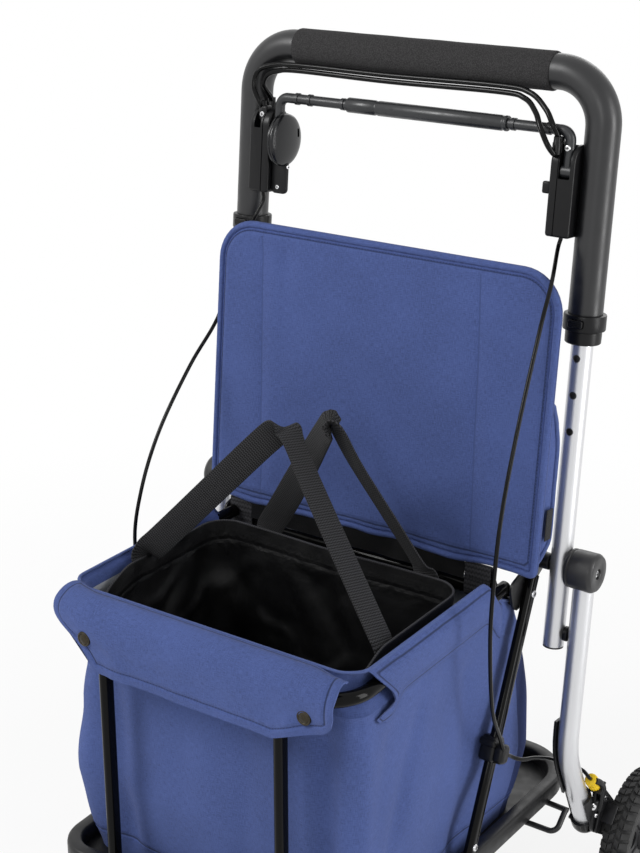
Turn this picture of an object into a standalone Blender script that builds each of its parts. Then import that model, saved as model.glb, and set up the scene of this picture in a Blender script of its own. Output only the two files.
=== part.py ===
"""Shopping rollator: a seat and bag frame on four wheels with a height-adjustable push handle.

Sizes are in millimetres and become metres where a mesh is made. X is across the object, -Y is the
front where the bag opens, +Y is the user's side, and Z is up from the floor. Y is counted from the
axis of the two side pivots. Left is -X and right is +X.
"""
import math

import bmesh
import bpy
from mathutils import Matrix, Vector

MM = 0.001
GAP = 0.3
LEFT, RIGHT = -1, 1
SIDES = ((LEFT, "left"), (RIGHT, "right"))

# Handle and the tubes that it slides on
PIVOT_Z = 443.0
LEAN = math.radians(5.1)
HANDLE_HALF = 207.0
HANDLE_REACH = 498.0
HANDLE_BEND = 50.0
HANDLE_R = 17.5
HANDLE_WALL = 1.5
GRIP_R = 19.4
GRIP_END_GAP = 5.0
TUBE_R = 11.1
TUBE_WALL = 1.5
STUB_LENGTH = 90.0
UPPER_DROP = 164.0
BUSH_LENGTH = 20.0
HOLE_R = 4.0
HOLE_DROP = 37.0
HOLE_PITCH = 38.0
HOLE_COUNT = 3
COLLAR_DROP = {RIGHT: 239.0, LEFT: 194.0}
COLLAR_RIM_R = 21.6
COLLAR_SLEEVE_R = 18.2
COLLAR_RIM = 16.0
COLLAR_SLEEVE = 14.0
BUTTON_WIDTH = 16.0
BUTTON_HEIGHT = 8.0
BUTTON_TRAVEL = 2.5

# Brake housings, bar and cables, placed along the leaning handle legs
HOUSING_IN = 39.0
HOUSING_OUT = 13.0
HOUSING_FRONT = -29.0
HOUSING_DEPTH = 38.0
HOUSING_DROP = 156.0
HOUSING_HEIGHT = 90.0
BRAKE_PIVOT_Y = -20.0
BRAKE_PIVOT_DROP = 92.0
BRAKE_ARM = 39.0
BAR_R = 5.3
BAR_SLEEVE_R = 7.8
BAR_SLEEVE_FROM = -73.0
BAR_SLEEVE_TO = 115.0
BAR_BEND = 10.0
ARM_LEFT_OUT = 46.0
ARM_RIGHT_OUT = 23.5
SLOT_WIDTH = 12.6
COVER_R = 28.0
COVER_Y = -17.0
COVER_DEPTH = 20.0
CABLE_R = 2.6
LINK_R = 2.4

# Side pivots, rear legs and rear wheels
SWING_GAP = 1.0
PEG_LENGTH = 5.8
PEG_R = 7.5
PEG_S = -74.0
BOLT_R = 4.0
HUB_R = 20.0
HUB_LENGTH = 31.6
HUB_LIP = 1.6
LEG_KICK = math.radians(26.2)
LEG_BEND = 90.0
REAR_AXLE_Y = 108.0
REAR_WHEEL_R = 78.0
REAR_TYRE_WIDTH = 32.0
REAR_TYRE_DEPTH = 20.0
LEG_END_FORWARD = 73.0
LEG_END_RISE = 49.0
PLATE_T = 4.0
AXLE_R = 6.0
SOCKET_R = 14.8
SOCKET_LENGTH = 42.0
GUARD_T = 3.0
GUARD_TOP_S = 172.0
SHOE_GAP = 3.5

# Bag frame
BRACKET_T = 3.0
DIAGONAL_T = 10.0
DIAGONAL_W = 16.0
DIAGONAL_TOP = (-30.0, 432.0)
CLIP_HEIGHT_Z = 267.0
CROSS_R = 8.0
CROSS_Y = -48.0
CROSS_Z = 416.0
RAIL_R = 7.2
RAIL_WALL = 1.5
RAIL_FRONT_Y = -358.0
RAIL_BEND = 45.0
FRONT_BAR_HALF = 106.0
FRONT_BAR_W = 10.0
TRAY_TOP_Z = 159.0
TRAY_HEIGHT = 22.0
TRAY_RIM = 16.0
TRAY_FLOOR = 4.0
TRAY_REAR_Y = 98.0
TRAY_FRONT_HALF = 188.0
TRAY_CORNER_REAR = 62.0
TRAY_CORNER_FRONT = 40.0
ROD_R = 3.2
DIAGONAL_FOOT_Y = -146.0

# Front casters
CASTER_HALF = 152.0
CASTER_Y = -306.0
CASTER_WHEEL_R = 55.0
CASTER_WIDTH = 26.0
CASTER_TRAIL = 30.0
CASTER_STEM_R = 6.0
CASTER_HOUSING_R = 17.0
CASTER_HOUSING_HEIGHT = 15.0
FORK_T = 4.0
FORK_CROWN = 8.0
CASTER_AXLE_R = 4.0

# Soft parts
HEM_T = 1.5
BAG_WALL = 1.8
BAG_DRAW = 10.0
BAG_FRONT_Y = -334.0
BAG_TOP_Z = 451.0
BAG_REAR_Y = 14.0
BAG_CORNER = 24.0
HEM_HEIGHT = 45.0
INNER_SIDE_ROOM = 20.6
INNER_FRONT_Y = -318.0
INNER_REAR_Y = -110.0
INNER_TOP_Z = 447.0
INNER_WALL = 1.5
INNER_CORNER = 30.0
LID_AXIS_Y = -59.0
LID_AXIS_Z = 459.0
LID_LEAN = math.radians(5.5)
LID_HALF = 208.0
LID_LENGTH = 304.0
LID_TAIL = 11.0
LID_CORNER = 45.0
PANEL_T = 8.0
CUSHION_MIN = 3.0
CUSHION_MAX = 21.0
CUSHION_INSET = 3.0
FLAP_LEFT = -158.0
FLAP_RIGHT = 172.0
FLAP_T = 2.0
FLAP_DROP = 52.0
STRAP_WIDTH = 30.0
STRAP_T = 2.2
LOOP_WIDTH = 30.0
LOOP_T = 1.4
LOOP_SIDE_ROOM = {LEFT: 15.6, RIGHT: 41.6}

# Places that follow from the sizes above
TOP_S = HANDLE_REACH
COLLAR_Z = {side: TOP_S - drop for side, drop in COLLAR_DROP.items()}
UPPER_LENGTH = TOP_S - UPPER_DROP
HOLE_TOP = COLLAR_Z[RIGHT] - HOLE_DROP
HOUSING_BASE = TOP_S - HOUSING_DROP
BRAKE_PIVOT_S = TOP_S - BRAKE_PIVOT_DROP
DIAGONAL_OUT = HANDLE_HALF - TUBE_R - SWING_GAP
DIAGONAL_IN = DIAGONAL_OUT - DIAGONAL_T
BRACKET_OUT = DIAGONAL_IN - GAP
BRACKET_IN = BRACKET_OUT - BRACKET_T
CROSS_HALF = BRACKET_IN - GAP
RAIL_HALF = BRACKET_IN - RAIL_R - GAP
RAIL_Z = CROSS_Z + CROSS_R + RAIL_R + GAP
LEG_HALF = HANDLE_HALF + TUBE_R + PEG_LENGTH + TUBE_R
PLATE_X = LEG_HALF + TUBE_R + 3 * GAP
WHEEL_X = PLATE_X + PLATE_T + 5.0
WHEEL_END_X = WHEEL_X + REAR_TYRE_WIDTH
REAR_AXLE_Z = REAR_WHEEL_R
LEG_END = (REAR_AXLE_Y - LEG_END_FORWARD, REAR_AXLE_Z + LEG_END_RISE)
TRAY_HALF = DIAGONAL_OUT + 5.0
TRAY_FRONT_Y = RAIL_FRONT_Y - DIAGONAL_W / 2
TRAY_BOTTOM_Z = TRAY_TOP_Z - TRAY_HEIGHT
TRAY_FLOOR_Z = TRAY_BOTTOM_Z + TRAY_FLOOR
BAG_HALF = RAIL_HALF + 2.5
INNER_HALF = BAG_HALF - INNER_SIDE_ROOM
LOOP_X = {side: side * (BRACKET_IN - room) for side, room in LOOP_SIDE_ROOM.items()}
BAG_BOTTOM_Z = TRAY_FLOOR_Z + GAP
INNER_BOTTOM_Z = BAG_BOTTOM_Z + BAG_WALL + GAP
CASTER_AXLE_Z = CASTER_WHEEL_R
FLAP_Y = RAIL_FRONT_Y - DIAGONAL_W / 2 - FLAP_T - 2.5
Y_SHIFT = -(REAR_AXLE_Y + REAR_WHEEL_R + FLAP_Y - FLAP_T / 2) / 2


def clear_scene():
    """Empties the file that the script runs in."""
    for old in list(bpy.data.objects):
        bpy.data.objects.remove(old, do_unlink=True)


def material(name, colour, roughness, metallic=0.0):
    """A plain Principled material."""
    made = bpy.data.materials.new(name)
    made.use_nodes = True
    shader = made.node_tree.nodes["Principled BSDF"]
    shader.inputs["Base Color"].default_value = (*colour, 1.0)
    shader.inputs["Roughness"].default_value = roughness
    shader.inputs["Metallic"].default_value = metallic
    return made


def empty(name, place, lean=0.0, parent=None):
    """A parent for pieces that share an axis, leaning back from upright."""
    made = bpy.data.objects.new(name, None)
    bpy.context.collection.objects.link(made)
    made.location = Vector(place) * MM
    made.rotation_euler = (-lean, 0.0, 0.0)
    made.parent = parent
    return made


def solid(name, rings, look, parent, closed=False, origin=(0.0, 0.0, 0.0)):
    """One body from rings of equal count, bridged in turn and capped, or closed into a loop."""
    mesh = bpy.data.meshes.new(name)
    shape = bmesh.new()
    start = Vector(origin)
    rows = [[shape.verts.new((Vector(p) - start) * MM) for p in ring] for ring in rings]
    pairs = list(zip(rows, rows[1:]))
    if closed:
        pairs.append((rows[-1], rows[0]))
    count = len(rows[0])
    for lower, upper in pairs:
        for i in range(count):
            j = (i + 1) % count
            shape.faces.new((lower[i], lower[j], upper[j], upper[i]))
    if not closed:
        shape.faces.new(rows[0][::-1])
        shape.faces.new(rows[-1])
    bmesh.ops.recalc_face_normals(shape, faces=shape.faces)
    shape.to_mesh(mesh)
    shape.free()
    mesh.shade_smooth()
    mesh.set_sharp_from_angle(angle=math.radians(35.0))
    made = bpy.data.objects.new(name, mesh)
    bpy.context.collection.objects.link(made)
    made.location = start * MM
    made.parent = parent
    if look is not None:
        mesh.materials.append(look)
    return made


def combine(target, tool, operation):
    """Joins a tool body to a piece, or cuts it away, and hides the tool."""
    tool.hide_render = True
    tool.display_type = "WIRE"
    step = target.modifiers.new(tool.name, "BOOLEAN")
    step.operation = operation
    step.object = tool
    return target


def cut(target, tool):
    return combine(target, tool, "DIFFERENCE")


def join(target, tool):
    return combine(target, tool, "UNION")


def circle(radius, count):
    """A round section with its flats level, so equal tubes meet face to face."""
    return [(radius * math.cos(math.tau * (i + 0.5) / count),
             radius * math.sin(math.tau * (i + 0.5) / count)) for i in range(count)]


def stadium(width, depth, steps=6):
    """A flat-oval section, width along the first direction, longer in the second."""
    radius = width / 2
    half = depth / 2 - radius
    points = []
    for centre, start in ((half, 0.0), (-half, math.pi)):
        for i in range(steps + 1):
            turn = start + math.pi * i / steps
            points.append((radius * math.cos(turn), centre + radius * math.sin(turn)))
    return points


def fillet(corners, radius, steps=7):
    """A path through straight runs whose inner corners are rounded."""
    points = [Vector(corners[0])]
    for before, corner, after in zip(corners, corners[1:], corners[2:]):
        corner = Vector(corner)
        back = (Vector(before) - corner).normalized()
        ahead = (Vector(after) - corner).normalized()
        half = back.angle(ahead) / 2
        centre = corner + (back + ahead).normalized() * radius / math.sin(half)
        first = corner + back * radius / math.tan(half) - centre
        last = corner + ahead * radius / math.tan(half) - centre
        turn = first.rotation_difference(last)
        for i in range(steps + 1):
            part = Matrix.Rotation(turn.angle * i / steps, 3, turn.axis)
            points.append(centre + part @ first)
    points.append(Vector(corners[-1]))
    return points


def smooth(route, steps=4):
    """A Catmull-Rom curve through a route's own points."""
    ends = [2 * Vector(route[0]) - Vector(route[1])]
    ends += [Vector(p) for p in route]
    ends.append(2 * Vector(route[-1]) - Vector(route[-2]))
    points = []
    for a, b, c, d in zip(ends, ends[1:], ends[2:], ends[3:]):
        for i in range(steps):
            t = i / steps
            points.append(0.5 * (2 * b + (c - a) * t + (2 * a - 5 * b + 4 * c - d) * t ** 2
                                 + (3 * b - a - 3 * c + d) * t ** 3))
    points.append(ends[-2])
    return points


def sweep(path, section, side=(1.0, 0.0, 0.0), scales=None):
    """Rings of one section carried along a path without twist."""
    path = [Vector(p) for p in path]
    rings = []
    across = Vector(side)
    for i, point in enumerate(path):
        ahead = path[min(i + 1, len(path) - 1)] - path[max(i - 1, 0)]
        ahead.normalize()
        across = (across - ahead * across.dot(ahead)).normalized()
        other = ahead.cross(across)
        scale = scales[i] if scales else 1.0
        rings.append([point + (across * u + other * v) * scale for u, v in section])
    return rings


def hollow(path, radius, wall, count, side=(1.0, 0.0, 0.0)):
    """Rings of an open-ended tube, out along its surface and back through its bore."""
    outer = sweep(path, circle(radius, count), side)
    inner = sweep(path, circle(radius - wall, count), side)
    return outer + inner[::-1]


def turned(profile, count, axis="Z", centre=(0.0, 0.0, 0.0)):
    """Rings from (radius, along) pairs turned about an axis through a centre."""
    rings = []
    for radius, along in profile:
        ring = []
        for u, v in circle(radius, count):
            offset = {"Z": (u, v, along), "X": (along, u, v), "Y": (u, along, v)}[axis]
            ring.append(Vector(centre) + Vector(offset))
        rings.append(ring)
    return rings


def prism(outline, low, high):
    """Two rings of a (y, z) outline at two X positions."""
    return [[(x, y, z) for y, z in outline] for x in (low, high)]


def hull(circles, count=12):
    """The outline that wraps circles given as (y, z, radius)."""
    points = sorted((y + u, z + v) for y, z, r in circles for u, v in circle(r, count))
    outline = []
    for sweep_points in (points, points[::-1]):
        half = []
        for p in sweep_points:
            while len(half) > 1 and turn_of(half[-2], half[-1], p) <= 1e-6:
                half.pop()
            half.append(p)
        outline += half[:-1]
    return outline


def turn_of(a, b, c):
    """Positive where the way from a through b to c turns left."""
    return (b[0] - a[0]) * (c[1] - a[1]) - (b[1] - a[1]) * (c[0] - a[0])


def rounded(corners, radii, steps=6):
    """A closed plan outline with each corner rounded by its own radius."""
    count = len(corners)
    points = []
    for i, (corner, radius) in enumerate(zip(corners, radii)):
        corner = Vector(corner)
        back = (Vector(corners[i - 1]) - corner).normalized()
        ahead = (Vector(corners[(i + 1) % count]) - corner).normalized()
        half = back.angle(ahead) / 2
        centre = corner + (back + ahead).normalized() * radius / math.sin(half)
        first = corner + back * radius / math.tan(half) - centre
        last = corner + ahead * radius / math.tan(half) - centre
        start = math.atan2(first.y, first.x)
        whole = (math.atan2(last.y, last.x) - start + math.pi) % math.tau - math.pi
        for j in range(steps + 1):
            turn = start + whole * j / steps
            points.append(centre + Vector((math.cos(turn), math.sin(turn))) * radius)
    return points


def smoothstep(value):
    value = min(max(value, 0.0), 1.0)
    return value * value * (3 - 2 * value)


def handle_parts(mast, looks):
    """The black push handle with its grip, collars and height buttons."""
    ends = {side: COLLAR_Z[side] + COLLAR_RIM / 2 - 3.0 for side in COLLAR_Z}
    corners = [(-HANDLE_HALF, 0, ends[LEFT]), (-HANDLE_HALF, 0, TOP_S),
               (HANDLE_HALF, 0, TOP_S), (HANDLE_HALF, 0, ends[RIGHT])]
    path = fillet(corners, HANDLE_BEND, 5)
    solid("handle_tube", hollow(path, HANDLE_R, HANDLE_WALL, 16), looks["black_tube"], mast, True)
    half = HANDLE_HALF - HANDLE_BEND - GRIP_END_GAP
    bore = HANDLE_R + GAP
    profile = [(bore, -half), (GRIP_R - 1.0, -half), (GRIP_R, -half + 3.0), (GRIP_R, half - 3.0),
               (GRIP_R - 1.0, half), (bore, half)]
    grip = turned(profile, 24, "X", (0, 0, TOP_S))
    solid("foam_grip", grip, looks["foam"], mast, True)
    for side, word in SIDES:
        collar(side, word, mast, looks)


def collar(side, word, mast, looks):
    """A plastic collar that guides the handle on the silver tube, and its press button."""
    middle = COLLAR_Z[side]
    rim_top = middle + COLLAR_RIM / 2
    rim_low = middle - COLLAR_RIM / 2
    low = rim_low - COLLAR_SLEEVE
    bore = TUBE_R + GAP
    seat = HANDLE_R + GAP
    profile = [(bore, low), (COLLAR_SLEEVE_R - 0.8, low), (COLLAR_SLEEVE_R, low + 1.5),
               (COLLAR_SLEEVE_R, rim_low), (COLLAR_RIM_R, rim_low + 1.0),
               (COLLAR_RIM_R, rim_top - 1.0), (COLLAR_RIM_R - 1.0, rim_top),
               (seat, rim_top), (seat, rim_top - 3.0 - GAP), (bore, rim_top - 3.0 - GAP)]
    centre = (side * HANDLE_HALF, 0, 0)
    made = solid(f"leg_collar_{word}", turned(profile, 20, "Z", centre), looks["plastic"], mast, True)
    depth = 1.5 + BUTTON_TRAVEL
    pocket = box(f"button_pocket_{word}", mast,
                 (side * HANDLE_HALF, -COLLAR_RIM_R, middle),
                 (BUTTON_WIDTH + 2 * GAP, 2 * (depth + GAP), BUTTON_HEIGHT + 2 * GAP))
    cut(made, pocket)
    box(f"height_button_{word}", mast, (side * HANDLE_HALF, -COLLAR_RIM_R + 0.25, middle),
        (BUTTON_WIDTH, 2.5, BUTTON_HEIGHT), looks["plastic"], 0.6)


def box(name, parent, centre, size, look=None, bevel=0.0):
    """A block with its origin at its centre, its edges rounded where asked."""
    half = Vector(size) / 2
    outline = [(-half.y, -half.z), (half.y, -half.z), (half.y, half.z), (-half.y, half.z)]
    rings = [[Vector(centre) + Vector((x, y, z)) for y, z in outline] for x in (-half.x, half.x)]
    made = solid(name, rings, look, parent, origin=centre)
    if bevel > 0:
        edge = made.modifiers.new("edges", "BEVEL")
        edge.width = bevel * MM
        edge.segments = 2
    return made


def housing_outline(inset=0.0):
    """The side outline of a brake housing, round at its top, as (y, s)."""
    front = HOUSING_FRONT + inset
    back = HOUSING_FRONT + HOUSING_DEPTH - inset
    radius = (back - front) / 2
    top = HOUSING_BASE + HOUSING_HEIGHT - inset - radius
    points = [(front, HOUSING_BASE + inset), (back, HOUSING_BASE + inset)]
    for i in range(13):
        turn = math.pi * i / 12
        points.append(((front + back) / 2 + radius * math.cos(turn), top + radius * math.sin(turn)))
    return points


def brake_housing(side, word, mast, looks):
    """A brake housing clamped to the inner side of a handle leg."""
    inner = side * (HANDLE_HALF - HOUSING_IN)
    outer = side * (HANDLE_HALF - HOUSING_OUT)
    edge = side * 2.0
    rings = [[(x, y, s) for y, s in housing_outline(inset)]
             for x, inset in ((inner, 2.0), (inner + edge, 0.0), (outer - edge, 0.0), (outer, 2.0))]
    made = solid(f"brake_housing_{word}", rings, looks["plastic"], mast)
    centre = (side * HANDLE_HALF, 0, 0)
    leg = turned([(HANDLE_R + GAP, HOUSING_BASE - 10), (HANDLE_R + GAP, TOP_S)], 24, "Z", centre)
    cut(made, solid(f"leg_clearance_{word}", leg, None, mast))
    return made


def brake_parts(mast, looks):
    """The two housings, the round pivot cover, the brake bar and the two link cables."""
    left = brake_housing(LEFT, "left", mast, looks)
    right = brake_housing(RIGHT, "right", mast, looks)
    inner = -(HANDLE_HALF - HOUSING_IN)
    plate = box("mechanism_plate", mast, (inner + 12.0, HOUSING_FRONT + 19.0, HOUSING_BASE + 20.0),
                (26.0, 26.0, 38.0))
    join(left, plate)
    slot_x = HANDLE_HALF - ARM_RIGHT_OUT
    slot = box("arm_slot", mast, (slot_x, BRAKE_PIVOT_Y, BRAKE_PIVOT_S + 30.0),
               (SLOT_WIDTH, 2 * (BRAKE_PIVOT_Y - HOUSING_FRONT) + 14.0, 74.0))
    cut(right, slot)
    base = -(HANDLE_HALF - ARM_LEFT_OUT) + BAR_R + 1.2
    profile = [(COVER_R * 0.55, base), (COVER_R, base + 1.0), (COVER_R, base + 5.0)]
    for i in range(1, 6):
        turn = math.pi / 2 * i / 5
        profile.append((COVER_R * max(math.cos(turn), 0.12), base + 5.0 + (COVER_DEPTH - 5.0) * math.sin(turn)))
    cover = turned(profile, 20, "X", (0, COVER_Y, BRAKE_PIVOT_S))
    made = solid("pivot_cover_left", cover, looks["gloss_plastic"], mast)
    notch = box("cover_clearance", mast, (inner + 12.0, HOUSING_FRONT + 19.0, HOUSING_BASE + 20.0),
                (26.0 + 2 * GAP, 26.0 + 2 * GAP, 38.0 + 2 * GAP))
    cut(made, notch)
    brake_bar(mast, looks)
    link_cables(mast, looks)


def brake_bar(mast, looks):
    """The bar across the handle that pulls both brakes, with its telescopic middle."""
    left = -(HANDLE_HALF - ARM_LEFT_OUT)
    right = HANDLE_HALF - ARM_RIGHT_OUT
    top = BRAKE_PIVOT_S + BRAKE_ARM
    corners = [(left, BRAKE_PIVOT_Y, BRAKE_PIVOT_S), (left, BRAKE_PIVOT_Y, top),
               (right, BRAKE_PIVOT_Y, top), (right, BRAKE_PIVOT_Y, BRAKE_PIVOT_S)]
    path = fillet(corners, BAR_BEND, 5)
    origin = (0, BRAKE_PIVOT_Y, BRAKE_PIVOT_S)
    bar = solid("brake_bar", sweep(path, circle(BAR_R, 10), (0, 1, 0)), looks["bar"], mast, origin=origin)
    profile = [(BAR_SLEEVE_R, BAR_SLEEVE_FROM), (BAR_SLEEVE_R, BAR_SLEEVE_TO)]
    sleeve = turned(profile, 14, "X", (0, BRAKE_PIVOT_Y, top))
    join(bar, solid("bar_sleeve", sleeve, None, mast))
    housing_face = -(HANDLE_HALF - HOUSING_IN)
    cover_face = left + BAR_R + 1.2
    slot_half = SLOT_WIDTH / 2 - GAP
    ends = (("left", housing_face + GAP, cover_face - GAP), ("right", right - slot_half, right + slot_half))
    for word, low, high in ends:
        pin = turned([(BAR_R + 1.0, low), (BAR_R + 1.0, high)], 14, "X", origin)
        join(bar, solid(f"arm_pin_{word}", pin, None, mast))


def link_cables(mast, looks):
    """The two cables that run under the grip from one brake housing to the other."""
    out = HANDLE_HALF
    top = TOP_S
    base = HOUSING_BASE + HOUSING_HEIGHT
    routes = {
        "link_cable_upper": [
            (23 - out, -19.8, base - 2), (21 - out, -25, base + 7), (13 - out, -24.5, base + 21),
            (15 - out, -22.5, top - 30), (29 - out, -20, top - 21.5), (67 - out, -19, top - 18.2),
            (-27, -18, top - 19), (100, -18, top - 17.5), (out - 72, -20, top - 21),
            (out - 50, -27, top - 34), (out - 39, -30.5, top - 48), (out - 34.5, -27, top - 58),
            (out - 34, -19.8, base - 2)],
        "link_cable_lower": [
            (23 - out, -3.2, base + 2), (23 - out, -6, base + 10), (20.5 - out, -17, base + 23),
            (26 - out, -19, top - 32), (39 - out, -19, top - 26.5), (67 - out, -19, top - 23.8),
            (-27, -18, top - 25), (100, -18, top - 23.5), (out - 77, -20, top - 27),
            (out - 60, -28, top - 38), (out - 50, -35, top - 51), (out - 40, -37.5, top - 66),
            (out - 35, -33.4, base - 8.3), (out - 34, -27.8, base - 10.7)],
    }
    for name, route in routes.items():
        solid(name, sweep(smooth(route, 2), circle(LINK_R, 6), (0, 0, 1)), looks["cable"], mast)


def upper_tubes(mast, looks):
    """The silver tubes that carry the handle, each with a guide bush inside the black tube."""
    bush = HANDLE_R - HANDLE_WALL - GAP
    bore = TUBE_R - TUBE_WALL
    low = -STUB_LENGTH
    for side, word in SIDES:
        profile = [(bore, low), (TUBE_R, low), (TUBE_R, UPPER_LENGTH - BUSH_LENGTH),
                   (bush, UPPER_LENGTH - BUSH_LENGTH), (bush, UPPER_LENGTH), (bore, UPPER_LENGTH)]
        centre = (side * HANDLE_HALF, 0, 0)
        tube = solid(f"upper_tube_{word}", turned(profile, 16, "Z", centre), looks["silver"], mast, True)
        for i in range(HOLE_COUNT):
            s = HOLE_TOP - i * HOLE_PITCH
            hole = turned([(HOLE_R, -TUBE_R - 3), (HOLE_R, 0)], 10, "Y", (side * HANDLE_HALF, 0, s))
            cut(tube, solid(f"height_hole_{word}_{i}", hole, None, mast))
        span = [(BOLT_R + GAP, side * HANDLE_HALF - 20), (BOLT_R + GAP, side * HANDLE_HALF + 20)]
        cut(tube, solid(f"bolt_hole_{word}", turned(span, 12, "X"), None, mast))


def leg_path(start_s=7.6):
    """A rear leg's centre line in (y, z): down along the lean, then kicked back to the axle."""
    lean = Vector((-math.sin(LEAN), -math.cos(LEAN)))
    kick = Vector((math.sin(LEG_KICK), -math.cos(LEG_KICK)))
    top = Vector((0, PIVOT_Z))
    end = Vector(LEG_END)
    reach = end - top
    cross = lean.x * kick.y - lean.y * kick.x
    along = (reach.x * kick.y - reach.y * kick.x) / cross
    corner = top + lean * along
    first = top + lean * start_s
    points = [(0, *first), (0, *corner), (0, *end)]
    return fillet(points, LEG_BEND, 4)


def rear_legs(root, looks):
    """The bent silver rear legs, the pivot hubs at their tops and the lock pegs."""
    for side, word in SIDES:
        path = [p + Vector((side * LEG_HALF, 0, 0)) for p in leg_path()]
        solid(f"rear_leg_{word}", hollow(path, TUBE_R, TUBE_WALL, 14), looks["silver"], root, True)
        inner = HANDLE_HALF + TUBE_R + GAP
        outer = inner + HUB_LENGTH
        profile = [(HUB_R, inner), (HUB_R + HUB_LIP, inner + 1.5), (HUB_R + HUB_LIP, inner + 5.0),
                   (HUB_R, inner + 6.5), (HUB_R, outer - 2.0), (HUB_R - 2.0, outer)]
        pivot = (0, 0, PIVOT_Z)
        profile = [(r, side * x) for r, x in profile]
        hub = solid(f"pivot_hub_{word}", turned(profile, 24, "X", pivot), looks["plastic"], root, origin=pivot)
        socket = [(TUBE_R + GAP, -40.0), (TUBE_R + GAP, -6.0)]
        bore = solid(f"leg_socket_{word}", turned(socket, 16), None, root)
        bore.location = Vector((side * LEG_HALF, 0, PIVOT_Z)) * MM
        bore.rotation_euler = (-LEAN, 0, 0)
        cut(hub, bore)
        bolt = [(BOLT_R + GAP, side * (inner - 5)), (BOLT_R + GAP, side * (outer - 6))]
        cut(hub, solid(f"hub_bolt_bore_{word}", turned(bolt, 12, "X", pivot), None, root))
        peg = [(PEG_R, side * (HANDLE_HALF + TUBE_R + GAP)), (PEG_R, side * (LEG_HALF - TUBE_R - GAP))]
        place = (0, PEG_S * math.sin(LEAN), PIVOT_Z + PEG_S * math.cos(LEAN))
        solid(f"lock_peg_{word}", turned(peg, 16, "X", place), looks["plastic"], root)


def frame_brackets(root, looks):
    """The side brackets with their pivot bolts, and the crossbar between them."""
    outline = hull([(0, PIVOT_Z, 13), (CROSS_Y, CROSS_Z, 12), (CROSS_Y - 9, RAIL_Z, 8), (*DIAGONAL_TOP, 10)])
    pivot = (0, 0, PIVOT_Z)
    for side, word in SIDES:
        rings = prism(outline, side * BRACKET_IN, side * BRACKET_OUT)
        bracket = solid(f"side_bracket_{word}", rings, looks["black_steel"], root)
        bush = [(9.0, side * (BRACKET_OUT - 1)), (9.0, side * (HANDLE_HALF - TUBE_R - GAP))]
        join(bracket, solid(f"pivot_bush_{word}", turned(bush, 16, "X", pivot), None, root))
        bolt_end = HANDLE_HALF + TUBE_R + HUB_LENGTH - 7
        bolt = [(BOLT_R, side * (BRACKET_OUT - 1)), (BOLT_R, side * bolt_end)]
        join(bracket, solid(f"pivot_bolt_{word}", turned(bolt, 12, "X", pivot), None, root))
    bar = [(CROSS_R - 1.5, -CROSS_HALF), (CROSS_R, -CROSS_HALF), (CROSS_R, CROSS_HALF), (CROSS_R - 1.5, CROSS_HALF)]
    solid("crossbar", turned(bar, 16, "X", (0, CROSS_Y, CROSS_Z)), looks["gloss_black"], root, True)


def rail_path(extra=0.0):
    """The bag rail: back along one side, round the front and forward along the other."""
    rear = CROSS_Y - CROSS_R - LOOP_T - 6 * GAP + extra
    corners = [(-RAIL_HALF, rear, RAIL_Z), (-RAIL_HALF, RAIL_FRONT_Y, RAIL_Z),
               (RAIL_HALF, RAIL_FRONT_Y, RAIL_Z), (RAIL_HALF, rear, RAIL_Z)]
    return fillet(corners, RAIL_BEND, 5)


def bag_frame(root, looks):
    """The bag rail, the front bars and the slanted side tubes with their cable clips."""
    rail = hollow(rail_path(), RAIL_R, RAIL_WALL, 12, (0, 0, 1))
    solid("bag_rail", rail, looks["gloss_black"], root, True)
    foot = TRAY_TOP_Z + GAP
    top = RAIL_Z - RAIL_R - GAP
    for side, word in SIDES:
        x = side * FRONT_BAR_HALF
        path = [(x, RAIL_FRONT_Y, foot), (x, RAIL_FRONT_Y, top)]
        rings = sweep(path, stadium(FRONT_BAR_W, DIAGONAL_W), (1, 0, 0))
        solid(f"front_bar_{word}", rings, looks["gloss_black"], root)
        slanted_tube(side, word, root, looks)


def diagonal_y(z):
    """Where a slanted side tube's centre line is at a height."""
    top_y, top_z = DIAGONAL_TOP
    part = (top_z - z) / (top_z - TRAY_TOP_Z)
    return top_y + (DIAGONAL_FOOT_Y - top_y) * part


def slanted_tube(side, word, root, looks):
    """One flat-oval side tube from the bracket down to the tray, and the clip on it."""
    x = side * (DIAGONAL_IN + DIAGONAL_OUT) / 2
    top = Vector((x, *DIAGONAL_TOP))
    foot = Vector((x, DIAGONAL_FOOT_Y, TRAY_TOP_Z + GAP))
    along = (top - foot).normalized()
    section = stadium(DIAGONAL_T, DIAGONAL_W)
    rings = sweep([foot, top + along * 6], section, (1, 0, 0))
    rings[0] = [p - along * ((p.z - foot.z) / along.z) for p in rings[0]]
    solid(f"side_tube_{word}", rings, looks["gloss_black"], root)
    tilt = math.atan2(top.y - foot.y, top.z - foot.z)
    middle = (side * (DIAGONAL_IN + 9.5), diagonal_y(CLIP_HEIGHT_Z), CLIP_HEIGHT_Z)
    clip = box(f"cable_clip_{word}", root, middle, (31, 25, 30), looks["plastic"])
    clip.rotation_euler = (-tilt, 0, 0)
    wide = stadium(DIAGONAL_T + 2 * GAP, DIAGONAL_W + 2 * GAP)
    cut(clip, solid(f"tube_clearance_{word}", sweep([foot, top], wide, (1, 0, 0)), None, root))
    around = sweep(smooth(brake_route(side), 2), circle(CABLE_R + 2 * GAP, 6))
    cut(clip, solid(f"cable_clearance_{word}", around, None, root))


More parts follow.
